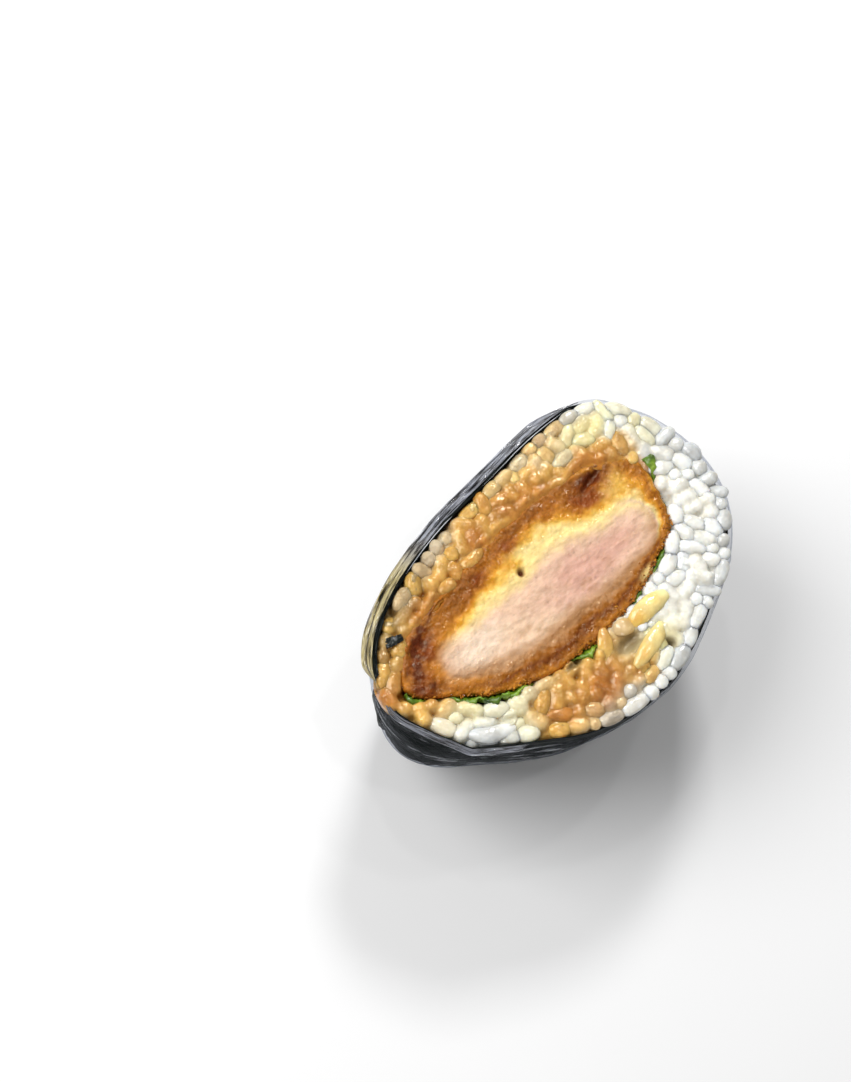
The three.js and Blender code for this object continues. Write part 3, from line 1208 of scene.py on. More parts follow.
@dataclass(frozen=True)
class GatheredFilmFinish(Finish):
    """Many layers of clear film: milky glossy streaks along it, with painted highlights, over what lies
    below.
    """

    milky: float = 0.85

    def draw(self, g: Graph) -> None:
        """Draws the finish."""
        lie = g.attribute("way_lie", "Vector")
        streak = g.speckle(lie, 1.0, 4.0, 0.65)
        pleat = g.speckle(lie, 2.6, 2.0)
        milk = g.node("ShaderNodeBsdfPrincipled", {}, {
            # Painted highlight: the milk's colour runs from 0.4 to 2 times its tint, brightest along the
            # streaks.
            "Base Color": g.shaded(g.attribute("tint", "Color"), 0.4, 2.0, streak.stretched(0.38, 0.72)),
            "Roughness": 0.16 + pleat * 0.2,
            "Coat Weight": 1.0,
            "Coat Roughness": 0.05,
            "Normal": g.bump(streak * 0.7 + pleat * 0.3, 1.0, 1.0),
        })
        clear = g.node("ShaderNodeBsdfTransparent", {}, {"Color": (0.7, 0.71, 0.74, 1.0)})
        share = (0.4 + streak.stretched(0.36, 0.56)) * self.milky
        g.finish("ShaderNodeMixShader", {0: share.clamped(), 1: clear, 2: milk})


@dataclass(frozen=True)
class FloorFinish(Finish):
    """A plain pale floor."""

    name: str = "floor"
    grey: float = 0.9

    def draw(self, g: Graph) -> None:
        """Draws the finish."""
        grain = g.speckle(g.place(), 0.02, 2.0)
        dark, pale = ((shade, shade, shade, 1.0) for shade in (0.985 * self.grey, self.grey))
        g.skin({"Base Color": g.mix(dark, pale, grain), "Roughness": 0.7})


# ---- Rice ----


@dataclass(frozen=True)
class RiceStain:
    """Where sauce, fat and steam have changed the colour of the white rice, and where shade is painted on
    it.
    """

    sauce: Spots = spots(
        (-4, 22, 38, 9, 0.46, 10), (-16, 15.5, 20, 5.2, 0.92, 16), (8, 18, 18, 4.6, 0.86, 4),
        (25, 17, 9, 4.5, 0.7, -10), (-37, 6, 8, 12, 0.72, 20), (-34.5, 13, 6.5, 6.5, 0.85),
        (-37, -3, 5, 4, 0.4), (-9, -19, 12, 9, 0.86), (5, -15, 5, 3.5, 0.5), (2, -22, 6, 4, 0.5),
    )
    cream: Spots = spots(
        (27, 23, 10, 3.5, 0.95), (6, 25, 8, 2.5, 0.6), (8, -20.5, 7, 3.5, 1),
        (-30, -5, 10, 5, 0.75, -30), (-20, -15, 7, 6, 0.6), (38, 17, 3, 4, 0.6),
    )
    pearl: Spots = spots(
        (-29, -14.5, 8, 4, 0.7, -30), (22, 27.5, 12, 2, 0.8), (37, 15, 4, 6, 0.6),
        (43.2, 1, 13, 2.8, 0.95, 90), (40.8, 15, 8, 2.8, 0.9, 112), (39, -10.5, 8, 2.8, 0.9, 50),
        (29, -19.6, 10, 2.8, 0.85, 31), (14, -26.8, 10, 2.4, 0.8, 18), (-8, -26.2, 12, 3, 0.9, 2),
        (-15, 25, 12, 2, 0.7, 8),
    )
    # Painted shade: grey-brown in the rice's hollows, and darker along the nori's upper-left edge, partly
    # painted shadow of the nori, partly the rice's own darker tone.
    dim: Spots = spots(
        (5, -17.4, 3.6, 2, 0.8), (11.7, -22.6, 1.6, 1.2, 0.9, -40), (-6.8, -13.5, 2.4, 0.9, 0.8),
        (-24, 20.5, 20, 3.2, 0.7, 26), (-35, 13, 5, 7, 0.35, -30),
    )
    pale: Spots = spots(
        (-27, 17.5, 20, 3.2, 0.8, 26), (0, 23.5, 22, 2.6, 0.6, 8), (-35, 8.5, 7, 8, 0.8, 30),
    )
    seed: int = 41

    def amount(self, points: Array) -> Array:
        """Returns how much sauce has soaked in at each point, 0 to 1."""
        reach = strongest(self.sauce, points)
        uneven = noise(points[:, :2], 5.5, self.seed) + 0.7 * noise(points[:, :2], 2.6, self.seed + 3)
        return np.clip(reach + 0.4 * uneven * smooth(0.04, 0.2, reach), 0.78 * reach, 1)

    def tint(self, points: Array, personal: Array | float = 0.0) -> Array:
        """Colours rice.

        Args:
            points: Places in the cut face.
            personal: How much more or less sauce than its neighbours each place has taken up.

        Returns:
            One colour for each place.
        """
        sauce = self.amount(points)
        fade = strongest(self.pale, points) * np.clip(0.5 + noise(points[:, :2], 2.4, self.seed + 2), 0, 1)
        sauce = np.clip(sauce * (1 - 0.38 * fade) + personal * smooth(0.05, 0.3, sauce), 0, 1)
        pearl = strongest(self.pearl, points) * (0.85 + 0.3 * noise(points[:, :2], 3, self.seed + 1))
        clean = blend(Tone.WHITE_RICE, Tone.PEARL_RICE, pearl)
        clean = blend(clean, Tone.CREAM_RICE, strongest(self.cream, points))
        tones = (Tone.PALE_AMBER, Tone.GOLD_RICE, Tone.AMBER, Tone.DEEP_AMBER)
        soaked = ramp([(0.2 + 0.25 * k, tone) for k, tone in enumerate(tones)], sauce)
        return blend(clean, soaked, smooth(0.06, 0.45, sauce) * (1 - 0.45 * np.clip(pearl, 0, 1)))


@dataclass
class Grains:
    """Grains of rice as short sticks: middles, directions, half lengths and radii."""

    middle: Array
    axis: Array
    half: Array
    radius: Array

    def balls(self, count: int = 3) -> Array:
        """Returns points along each stick, as grains by count by 3."""
        steps = np.linspace(-1, 1, count)[None, :, None]
        return self.middle[:, None, :] + steps * (self.half[:, None] * self.axis)[:, None, :]

    def fit(self, balls: Array) -> None:
        """Moves the sticks to where their points were pushed."""
        self.middle = balls.mean(1)
        self.axis = unit(balls[:, 2] - balls[:, 0])

    def chosen(self, which: Array) -> Grains:
        """Returns some of the grains."""
        return Grains(self.middle[which], self.axis[which], self.half[which], self.radius[which])

    def tops(self, outline: Outline, spacing: float, bottom: float) -> Lattice:
        """Returns the height of the grains' upper side over the cut face."""
        lattice = Lattice.over(outline, 3.0, spacing, bottom)
        for balls, radius in zip(self.balls(5), self.radius):
            for ball in balls:
                lattice.raised(ball, radius)
        return lattice


BULGES = spots(
    (43, -1, 9, 17, 1.5), (36, 20, 8, 6, 1.3, -40), (33, -18, 12, 6, 1.3, 40), (2, -27, 16, 4, 0.7),
)


@dataclass
class RiceBed:
    """Shakes grains together between the nori and the filling, just under the cut face."""

    outer: Outline
    filling: Outline
    width: float = 3.5
    length: float = 6.0
    depth: float = 6.0
    proud: float = 0.95
    count: int = 450
    steps: int = 90
    firm: float = 0.93
    lift: float = 0.04
    seed: int = 23
    upright: Spots = spots(
        (42, 2, 8, 20, 1), (25, 27, 18, 5, 1), (30, -20, 6, 15, 1, -55), (0, -26, 24, 5, 1),
        (-24, 17, 24, 4, 0.5, 26),
    )

    def settle(self) -> Grains:
        """Returns the grains after they have pushed each other apart."""
        rng = np.random.default_rng(self.seed)
        outer, inner = Lattice.distance(self.outer), Lattice.distance(self.filling)
        middle = self._scatter(rng, outer, inner)
        radius = 0.5 * self.width * rng.uniform(0.86, 1.12, self.count)
        half = 0.5 * self.length * rng.uniform(0.8, 1.15, self.count) - radius
        grains = Grains(middle, self._aim(rng, middle), half, radius)
        size = np.repeat(self.firm * radius, 3)
        pairs = None
        for step in range(self.steps):
            balls = grains.balls()
            flat = balls.reshape(-1, 3)
            if step % 8 == 0:
                pairs = self._pairs(flat, size)
            self._push_apart(flat, size, pairs)
            flat[:, 2] += self.lift
            self._keep_in(flat, size / self.firm, outer, inner)
            grains.fit(balls)
        return grains

    def _scatter(self, rng: np.random.Generator, outer: Lattice, inner: Lattice) -> Array:
        """Returns random places in the bed."""
        loop = self.outer.loop
        tries = rng.uniform(loop.min(0), loop.max(0), (8 * self.count, 2))
        good = (outer.at(tries) > 1.0) & (inner.at(tries) < -1.0)
        found = tries[good][: self.count]
        return np.column_stack([found, rng.uniform(-self.depth, -0.5, len(found))])

    def _aim(self, rng: np.random.Generator, middle: Array) -> Array:
        """Returns each grain's direction: mostly flat, but on end where they stand."""
        turn = rng.uniform(0, math.tau, len(middle))
        standing = rng.random(len(middle)) < 0.16 + strongest(self.upright, middle)
        tilt = np.where(standing, rng.uniform(0.9, 1.5, len(middle)), rng.normal(0, 0.22, len(middle)))
        return np.stack([np.cos(turn) * np.cos(tilt), np.sin(turn) * np.cos(tilt), np.sin(tilt)], axis=1)

    def _pairs(self, flat: Array, size: Array, slack: float = 0.8) -> tuple[Array, Array]:
        """Returns the pairs of points, of different grains, that are near each other."""
        points = flat.astype(np.float32)
        square = (points**2).sum(1)
        gap2 = square[:, None] + square[None, :] - 2 * points @ points.T
        reach = (size[:, None] + size[None, :] + slack) ** 2
        first, second = np.nonzero(np.triu(gap2 < reach, 1))
        apart = first // 3 != second // 3
        return first[apart], second[apart]

    def _push_apart(self, flat: Array, size: Array, pairs: tuple[Array, Array]) -> None:
        """Moves points that overlap away from each other."""
        first, second = pairs
        gap = flat[first] - flat[second]
        distance = np.linalg.norm(gap, axis=1) + 1e-6
        overlap = np.clip(size[first] + size[second] - distance, 0.0, None)
        push = gap * (0.24 * overlap / distance)[:, None]
        for axis in range(3):
            flat[:, axis] += np.bincount(first, push[:, axis], len(flat))
            flat[:, axis] -= np.bincount(second, push[:, axis], len(flat))

    def _keep_in(self, flat: Array, size: Array, outer: Lattice, inner: Lattice) -> None:
        """Moves points back between the nori, the filling, the cut and the core."""
        bulge = strongest(BULGES, flat) * smooth(-2, -0.9, flat[:, 2])
        over = np.clip(0.95 * size - outer.at(flat) - bulge, 0.0, None)
        flat[:, :2] += outer.slope(flat) * over[:, None]
        over = np.clip(inner.at(flat) + 0.8 * size, 0.0, None)
        flat[:, :2] -= inner.slope(flat) * over[:, None]
        flat[:, 2] = np.clip(flat[:, 2], -self.depth, self.proud - size)


@dataclass
class GrainScatter:
    """Sets a real grain on each stick and slices off most of what stands proud of the cut."""

    place: Place
    softness: float = 0.45
    around: int = 10
    rows: int = 7
    shapes: tuple[tuple[float, float, float], ...] = (
        (0.8, 0.0, 1.0), (0.66, 0.1, 0.92), (0.74, -0.16, 0.96), (0.9, 0.06, 1.05),
    )

    def _grain(self, number: int, blunt: float, bend: float, flat: float) -> Piece:
        """Makes one grain, 2 units long and 2 wide before it is sized."""
        polar = np.linspace(0, math.pi, self.rows + 2)[1:-1, None]
        turn = np.linspace(0, math.tau, self.around, endpoint=False)
        x = np.cos(polar) + 0 * turn
        girth = np.sin(polar) ** blunt * (1 + 0.08 * x)
        rings = [x, np.cos(turn) * flat * girth + bend * (1 - x * x), np.sin(turn) * girth]
        return loose_shape(f"grain_shape_{number}", *closed_rings(np.stack(rings, axis=2), 0.08))

    def build(self, grains: Grains, tint: Array, finish: Finish, rng: np.random.Generator) -> Piece:
        """Makes the real grains, as one plain mesh with the finish's name.

        Args:
            grains: The settled grains.
            tint: One colour for each grain.
            finish: Their finish.
            rng: For each grain's roll and shape.

        Returns:
            The piece.
        """
        count = len(grains.middle)
        rolls = rng.uniform(0, math.tau, count)
        long = grains.half + grains.radius
        mesh = self.place.mesh(
            "grain_points",
            grains.middle,
            [],
            way_turn=np.array([self._turn(*pair) for pair in zip(grains.axis, rolls)]),
            way_size=np.stack([long, grains.radius, 0.97 * grains.radius], axis=1) * MM,
            shape=rng.integers(0, len(self.shapes), count),
            level=rng.normal(0, 0.15, count) * MM,
            tint=tint,
        )
        recipe = Recipe("grain_scatter")
        g = recipe.graph
        cut, softness = recipe.number("Cut height"), recipe.number("Softness")
        shapes = [self._grain(k, *shape) for k, shape in enumerate(self.shapes)]
        turn, size = (recipe.read(way, "FLOAT_VECTOR") for way in ("way_turn", "way_size"))
        real = recipe.scattered(shapes, turn, size)
        height = g.node("ShaderNodeSeparateXYZ", {}, {0: g.node("GeometryNodeInputPosition")}, 2)
        over = (height - (cut + recipe.read("level", "FLOAT"))).math("MAXIMUM", 0.0)
        offset = g.node("ShaderNodeCombineXYZ", {}, {2: over * (softness - 1.0)})
        sliced = g.node("GeometryNodeSetPosition", {}, {"Geometry": real, "Offset": offset})
        values = {"Cut height": float(self.place.origin[2] * MM), "Softness": self.softness}
        return recipe.run(finish.name, sliced, finish, mesh, values)

    @staticmethod
    def _turn(axis: Array, roll: float) -> Array:
        """Returns the angles that lay a grain along an axis."""
        lay = Vector(axis).to_track_quat("X", "Z").to_matrix() @ Matrix.Rotation(roll, 3, "X")
        return np.array(lay.to_euler())


@dataclass
class Rice:
    """The rice: a core whose top fills in between real grains."""

    place: Place
    rim: Outline
    filling: Outline
    stain: RiceStain = field(default_factory=RiceStain)
    spacing: float = 0.3
    air: float = 0.35
    loose_height: float = 0.66
    seed: int = 5
    hollows: Spots = spots(
        (5, -17.3, 3.4, 1.6, 1.7), (5.6, -14.2, 4.4, 2.6, 0.7), (33.7, 9, 2.8, 2.8, 0.7),
        (11.7, -22.6, 1.2, 0.9, 2.4, -40), (-6.8, -13.5, 2, 0.6, 1.6),
        (-25.5, -13.6, 2.4, 0.8, 1.3, -20), (1.6, -26.2, 1.2, 0.8, 1.6),
    )

    def build(self) -> None:
        """Builds and dresses the core and the grains."""
        grains = RiceBed(self.rim, self.filling).settle()
        sauce = self.stain.amount(grains.middle)
        rng = np.random.default_rng(self.seed)
        count = len(sauce)
        tint = self.stain.tint(grains.middle, rng.normal(0, 0.05, count))
        tint = tint * rng.uniform(0.93, 1.03, (count, 1))
        # Painted shade: grains are darkened in the hollows and along the nori's upper-left edge.
        tint = tint * (1 - 0.4 * strongest(self.stain.dim, grains.middle)[:, None])
        top = grains.balls()[..., 2].max(1) + grains.radius
        rim = smooth(5, 2.4, self.rim.inside(grains.middle)) * (1 - 0.75 * sauce)
        rim *= smooth(-34, -24, grains.middle[:, 0])
        loose = (rng.random(count) < 0.46 - 0.34 * sauce + rim) & (top > -0.6)
        loose &= strongest(self.hollows, grains.middle) < 0.5
        self._core(grains, tint, loose)
        scatter = GrainScatter(self.place)
        for name, kind, wet, glint in (
            ("rice_white_grains", sauce < 0.25, 0.25, (1.0, 1.0, 1.0)),
            ("rice_sauced_grains", sauce >= 0.25, 0.6, (1.0, 0.84, 0.56)),
        ):
            which = kind & loose
            finish = RiceFinish(name, wet=wet, dark=0.93 - 0.3 * wet, rough=0.12 + 0.4 * wet, glint=glint)
            self.place.adopt(scatter.build(grains.chosen(which), tint[which], finish, rng), "rice")

    def _core(self, grains: Grains, tint: Array, loose: Array) -> None:
        """Builds the core: a relief of all grains, with the loose ones sunk in it, wall and well.

        Args:
            grains: All grains.
            tint: One colour for each grain.
            loose: Which grains lie on top as real ones.
        """
        sunk = loose * (self.loose_height - 0.34 * self.stain.amount(grains.middle))
        bedded = replace(grains, middle=grains.middle - sunk[:, None] * [0, 0, 1])
        tops = bedded.tops(self.rim, 0.2, -2.6).blurred(0.26)
        net = Net.between(self.rim.moved(-0.05), self.filling.moved(-0.5), self.spacing)
        feather = smooth(2.2, 0.2, -self.filling.inside(net.points)) * smooth(4, 9, net.points[:, 1])
        height = tops.at(net.points) - 0.14
        height = np.where(height > 0, 0.7 * height, height) + 0.08 * noise(net.points, 1.6, 7, 2)
        soaked = self.stain.amount(net.points)
        lumps, pick = cells(net.points, 1.9, 43)
        mush = 0.12 * (0.6 - lumps) + 0.1 * (pick - 0.5) + 0.12 * noise(net.points, 1.2, 44, 3)
        # Darker, warmer colour in the hollows between grains: partly sauce pooled there, partly painted
        # shade.
        valley = smooth(0.15, -0.6, height - tops.blurred(1.4).at(net.points)) * (0.1 + 0.9 * soaked)
        height += soaked * mush
        height -= np.sum([hollow.at(net.points) for hollow in self.hollows], axis=0)
        height = height * (1 - feather) - 0.3 * feather
        top = np.column_stack([net.points, height])
        outer, inner = (top[loop] for loop in net.edges)
        wall, room = Wall(self.place, "rice"), Wall(self.place, "cutlet")
        side = self._curtain(wall, outer, np.linspace(-2.5, wall.low + 0.35, 16), -self.air)
        well = self._curtain(room, inner, np.linspace(-4.0, room.low + 1.2, 10), self.air)
        skins = [top, side.reshape(-1, 3), well.reshape(-1, 3)]
        points = np.vstack([*skins, side[-1:].mean(1), well[-1:].mean(1) - [0, 0, 1.2]])
        faces = list(net.faces)
        first = below = len(top)
        for loop, rings, centre in ((net.edges[0], side, -2), (net.edges[1], well, -1)):
            rows = [loop, *numbered(rings, first)]
            faces += bands(rows) + lid(rows[-1], len(points) + centre, up=False)
            first = rows[-1][-1] + 1
        shade = self.stain.tint(points) * 0.95
        near = 0.35 * shade[:below] + 0.62 * self._nearby(top, grains, tint)
        # Painted shade: the core turns grey-brown in its hollows and along the nori's upper-left edge.
        near = blend(near, Tone.HOLLOW, strongest(self.stain.dim, top))
        # Painted shade, with pooled sauce: darker and warmer in the hollows between grains.
        near *= np.array([0.82, 0.7, 0.5]) ** valley[:, None]
        uneven = noise(net.points, 1.5, 45, 2) + 2 * (pick - 0.5)
        near *= 1 + (0.11 * soaked * uneven)[:, None]
        shade[:below] = blend(near, Tone.CRUST_ORANGE, 0.75 * feather)
        finish = RiceFinish("rice_core", wet=0.55, dark=0.84, rough=0.36, glint=(1.0, 0.88, 0.66))
        self.place.fit("rice", "rice_core", finish, points, faces, tint=shade)

    def _nearby(self, points: Array, grains: Grains, tint: Array) -> Array:
        """Returns the colour of the grains round each point, the nearest counting most."""
        balls = grains.balls().reshape(-1, 3)
        colours = np.repeat(tint, 3, axis=0)
        found = []
        for first in range(0, len(points), 2000):
            gap = np.linalg.norm(points[first : first + 2000, None, :] - balls, axis=2)
            weight = np.exp(-2.0 * (gap - gap.min(1, keepdims=True)))
            found.append(weight @ colours / weight.sum(1, keepdims=True))
        return np.vstack(found)

    def _curtain(self, wall: Wall, edge: Array, heights: Array, air: float) -> Array:
        """Hangs rings from an edge down along a wall of the frame.

        Args:
            wall: The wall.
            edge: The edge's points.
            heights: The rings' heights.
            air: How far outside the wall they hang; negative for inside.

        Returns:
            Rings by points by 3.
        """
        angles = np.arctan2(edge[:, 1], edge[:, 0])
        skin = wall.skin(angles, heights)
        skin[..., :2] += unit(skin[..., :2]) * air
        near = smooth(-14, -2, heights)[:, None, None]
        skin[..., :2] += (edge[None, :, :2] - skin[:1, :, :2]) * near
        return skin


# ---- Cutlet and leaf ----


@dataclass
class CutletForm:
    """The cutlet's shape below the cut: its outline drawn in towards a rounded end."""

    place: Place
    outline: Outline
    length_rounding: float = 3.2
    width_rounding: float = 3.0
    low: float = field(init=False)
    middle: Array = field(init=False)

    def __post_init__(self) -> None:
        """Reads how deep the cutlet goes."""
        self.low = float(self.place.local("cutlet")[0][:, 2].min())
        self.middle = self.outline.loop.mean(0)

    def at(self, points: Array, height: float) -> Array:
        """Returns points of the cut face carried down to a height, as rows of 3."""
        share = min(max(height / (1.04 * self.low), 0.0), 0.985)
        scale = [(1 - share**p) ** (1 / p) for p in (self.length_rounding, self.width_rounding)]
        flat = self.middle + (points - self.middle) * scale
        return np.column_stack([flat, np.full(len(points), height)])


@dataclass
class Cutlet:
    """The pork cutlet: meat, a strip of fat and a browned, sauce-soaked breading."""

    form: CutletForm
    spacing: float = 0.25
    pore: Spot = Spot(-2.9, 7.9, 0.85, 0.65, 1.2, 60)
    meat_line: tuple[tuple[float, float], ...] = (
        (15.5, 6.4), (8, 8.4), (2, 8.6), (-4, 7.0), (-10, 7.1), (-18, 6.4), (-24.7, 5.1), (-27.4, 3),
        (-27.1, 0.2), (-24.6, -1.8), (-17, -4.4), (-9, -5.9), (0, -5.4), (8.9, -5.8), (16, -5.3),
        (23.2, -4.6), (26.2, -2), (27, 1.6), (24.7, 5.3),
    )
    sauce: Spots = spots(
        (21.3, 14.3, 4.8, 1.9, 1.5, 8), (-29.8, 9, 4.2, 2.4, 1.3, 40), (-34.2, 4, 2.2, 3.6, 1, -14),
        (-32.4, 0.4, 2.2, 1.4, 0.8, 10), (-24.5, 13.2, 4.6, 1.3, 1, 26),
        (-15.5, 12.6, 4.5, 1.6, 0.4, 10), (-3, -9.4, 4, 1.5, 0.4, 0), (4, 16.4, 6, 1.2, 0.45, 6),
    )
    soaked: Spots = spots(
        (20.6, 12.4, 6.8, 3, 1.1, 10), (-30.4, 7.6, 5.4, 4, 1, 40), (-34.2, 2.6, 3.2, 5, 0.95, -14),
        (8.5, 14.6, 3.6, 1.8, 0.7, 4), (-2.5, 13.6, 3.8, 1.8, 0.75, 10),
        (-12.3, 11.8, 4, 1.8, 0.75, 16),
    )

    def build(self) -> None:
        """Builds and dresses the cutlet."""
        net = Net.between(self.form.outline, None, self.spacing)
        p = net.points
        inside = Outline.through(self.meat_line).inside(p)
        edge = np.maximum(self.form.outline.inside(p), 0.0)
        warp = 1.2 * noise(p, 4.5, 71, 3) + 0.4 * noise(p, 1.2, 72, 2)
        vague = smooth(-14, -26, p[:, 0])
        meat = smooth(-0.5 - 2.2 * vague, 0.5 + 1.6 * vague, inside + (0.5 + 0.5 * vague) * warp)
        out = np.maximum(-(inside + 0.7 * warp), 0.0)
        patchy = 0.16 * noise(p, 3.2, 77, 2) + 0.08 * noise(p, 1.1, 78)
        across = np.clip(out / np.maximum(out + edge, 0.2), 0, 1)
        across = np.clip(across + patchy * smooth(0.02, 0.3, across), 0, 1)
        sauce = np.clip(sum(s.at(p) for s in self.sauce) * (0.75 + 0.9 * noise(p, 1.3, 75, 2)), 0, 1)
        soaked = strongest(self.soaked, p) * (0.9 + 0.8 * noise(p, 2.2, 70, 2))
        soaked = np.clip(soaked, 0, 1) * (1 - meat)
        distance, pick = cells(p, 1.7, 79)
        pore = np.maximum(smooth(0.2, 0.1, distance) * (pick < 0.12) * 0.2 * meat, self.pore.at(p))
        height = self._relief(p, edge, inside) - 0.3 * pore
        tint = self._colours(p, inside, across, meat, warp)
        tint = blend(tint, Tone.CRUST_SOAKED, 0.85 * soaked)
        tint = blend(tint, Tone.SAUCE, 0.92 * sauce)
        # Painted shade: the pits of the pores are coloured dark brown.
        tint = blend(tint, Tone.PORE, pore)
        glazed = 1 - 0.55 * meat * (1 - 0.7 * Spot(-24, -1, 8, 7).at(p))
        wet = np.clip(0.45 + 1.1 * noise(p, 0.9, 76, 2) + 0.3 * sauce, 0, 1) * glazed
        soft = np.maximum(meat, 1 - smooth(0.25, 0.6, across))
        self._close(net, height, {"tint": tint, "wet": wet, "soft": soft})

    def _relief(self, p: Array, edge: Array, inside: Array) -> Array:
        """Returns the height of the cut surface at each point."""
        lean = smooth(-1.2, 0.4, inside)
        lumps, pick = cells(p, 1.35, 61)
        grit = 0.2 * (0.8 - lumps) + 0.14 * (pick - 0.5) + 0.18 * noise(p, 1, 62, 2)
        crust = grit + 0.4 * noise(p, 5, 63, 2) - 0.15
        meat = 0.1 * noise(p * [0.35, 1.3], 1.8, 64, 3) + 0.2 * noise(p, 9, 65)
        meat += 0.07 * noise(p, 0.8, 67, 2)
        height = crust * (1 - lean) + meat * lean
        height -= 0.5 * (1 - smooth(0, 0.8, edge)) ** 1.5
        dents = spots(
            (21.8, 14, 3.4, 0.9, 1.4, 14), (-20.8, 13.3, 1.8, 0.35, 1, 12),
            (-2.9, 8.1, 0.8, 0.75, 1.4), (-29.8, 8.8, 3.2, 1.6, 0.9, 20),
        )
        return height - sum(dent.at(p) for dent in dents)

    def _colours(self, p: Array, inside: Array, across: Array, meat: Array, warp: Array) -> Array:
        """Returns the colour at each point, without the sauce."""
        cream, grey, gold = Tone.FAT_CREAM, Tone.MEAT_GREY, Tone.CRUST_GOLD
        orange, brown, dark = Tone.CRUST_ORANGE, Tone.CRUST_BROWN, Tone.CRUST_DARK
        above = [(0.1, cream), (0.28, Tone.FAT_YELLOW), (0.42, gold), (0.56, orange), (0.7, brown)]
        below = [(0.22, grey), (0.4, brown), (0.55, dark), (0.72, brown), (1, orange)]
        right = [(0, Tone.MEAT_PALE), (0.2, cream), (0.4, gold), (0.62, orange), (0.8, brown), (1, gold)]
        left = [(0, grey), (0.3, orange), (0.6, brown), (1, orange)]
        push = 0.34 * Spot(21, 12, 7, 4, 1, 10).at(p) + 0.2 * Spot(-15, 12, 6, 3).at(p)
        push = push - 0.14 * Spot(5, 12, 8, 3).at(p) + 0.3 * Spot(-22, 9, 5, 4).at(p)
        upper = smooth(-2.5, 4, p[:, 1] - 0.5)
        crust = blend(ramp(below, across), ramp(above, across + push), upper)
        crust = blend(crust, ramp(right, across), smooth(22, 27.5, p[:, 0] + 0.25 * p[:, 1]))
        crust = blend(crust, ramp(left, across), smooth(-20, -27, p[:, 0]))
        burnt = smooth(0, 0.6, noise(p, 2.4, 73, 3)) * smooth(0.3, 0.75, across)
        crust = blend(crust, dark, 0.5 * burnt)
        crust = blend(crust, orange, 0.25 * smooth(0.8, 1, across) * upper)
        crust = blend(crust, cream, Spot(18.6, -8.7, 2.6, 1.2, 1, 8).at(p))
        crust = blend(crust, Tone.FAT_YELLOW, Spot(25.4, 10.6, 2.6, 3.6, 0.8, -10).at(p))
        pink = np.clip(Spot(9, 1, 16, 6.5).at(p) + 0.5 * noise(p * [0.6, 1.0], 4.0, 74, 3), 0, 1)
        lean = blend(Tone.MEAT_PALE, Tone.MEAT_PINK, pink)
        lean = blend(lean, Tone.MEAT_WHITE, Spot(-20, 1.5, 7, 3.4, 0.8, 10).at(p))
        mottle = smooth(0, 0.5, noise(p * [0.7, 1.2], 2.2, 80, 3)) * smooth(3, -3, p[:, 1])
        lean = blend(lean, grey, 0.4 * mottle)
        fatty = smooth(3, 0, inside + warp) * upper * smooth(-24, -14, p[:, 0])
        lean = blend(lean, cream, fatty * 0.8)
        lean = blend(lean, grey, smooth(2.6, 0, inside) * (1 - upper) * 0.7)
        return blend(crust, lean, meat)

    def _close(self, net: Net, height: Array, values: Mapping[str, Array]) -> None:
        """Carries the cut surface down its sides to a closed underside."""
        rim = net.points[net.edges[0]]
        form = self.form
        heights = np.concatenate([[-1.0, -2.5], np.linspace(-5.0, form.low + 0.15, 10)])
        rings = np.stack([form.at(rim, h) for h in heights])
        bumps = 0.28 * noise(rings.reshape(-1, 3), 1.6, 66, 2).reshape(rings.shape[:2]) - 0.25
        rings[..., :2] += unit(rings[..., :2] - form.middle) * bumps[..., None]
        rows = [net.edges[0], *numbered(rings, len(net.points))]
        faces = net.faces + bands(rows) + lid(rows[-1], rows[-1][-1] + 1, up=False)
        below = np.vstack([rings.reshape(-1, 3), rings[-1:].mean(1)])
        count = len(below)
        brown = np.tile(Tone.CRUST_BROWN.linear, (count, 1))
        more = {"tint": brown, "wet": np.full(count, 0.3), "soft": np.zeros(count)}
        full = {key: np.concatenate([values[key], more[key]]) for key in more}
        top = np.column_stack([net.points, height])
        form.place.fit("cutlet", "cutlet_body", CutletFinish(), np.vstack([top, below]), faces, **full)


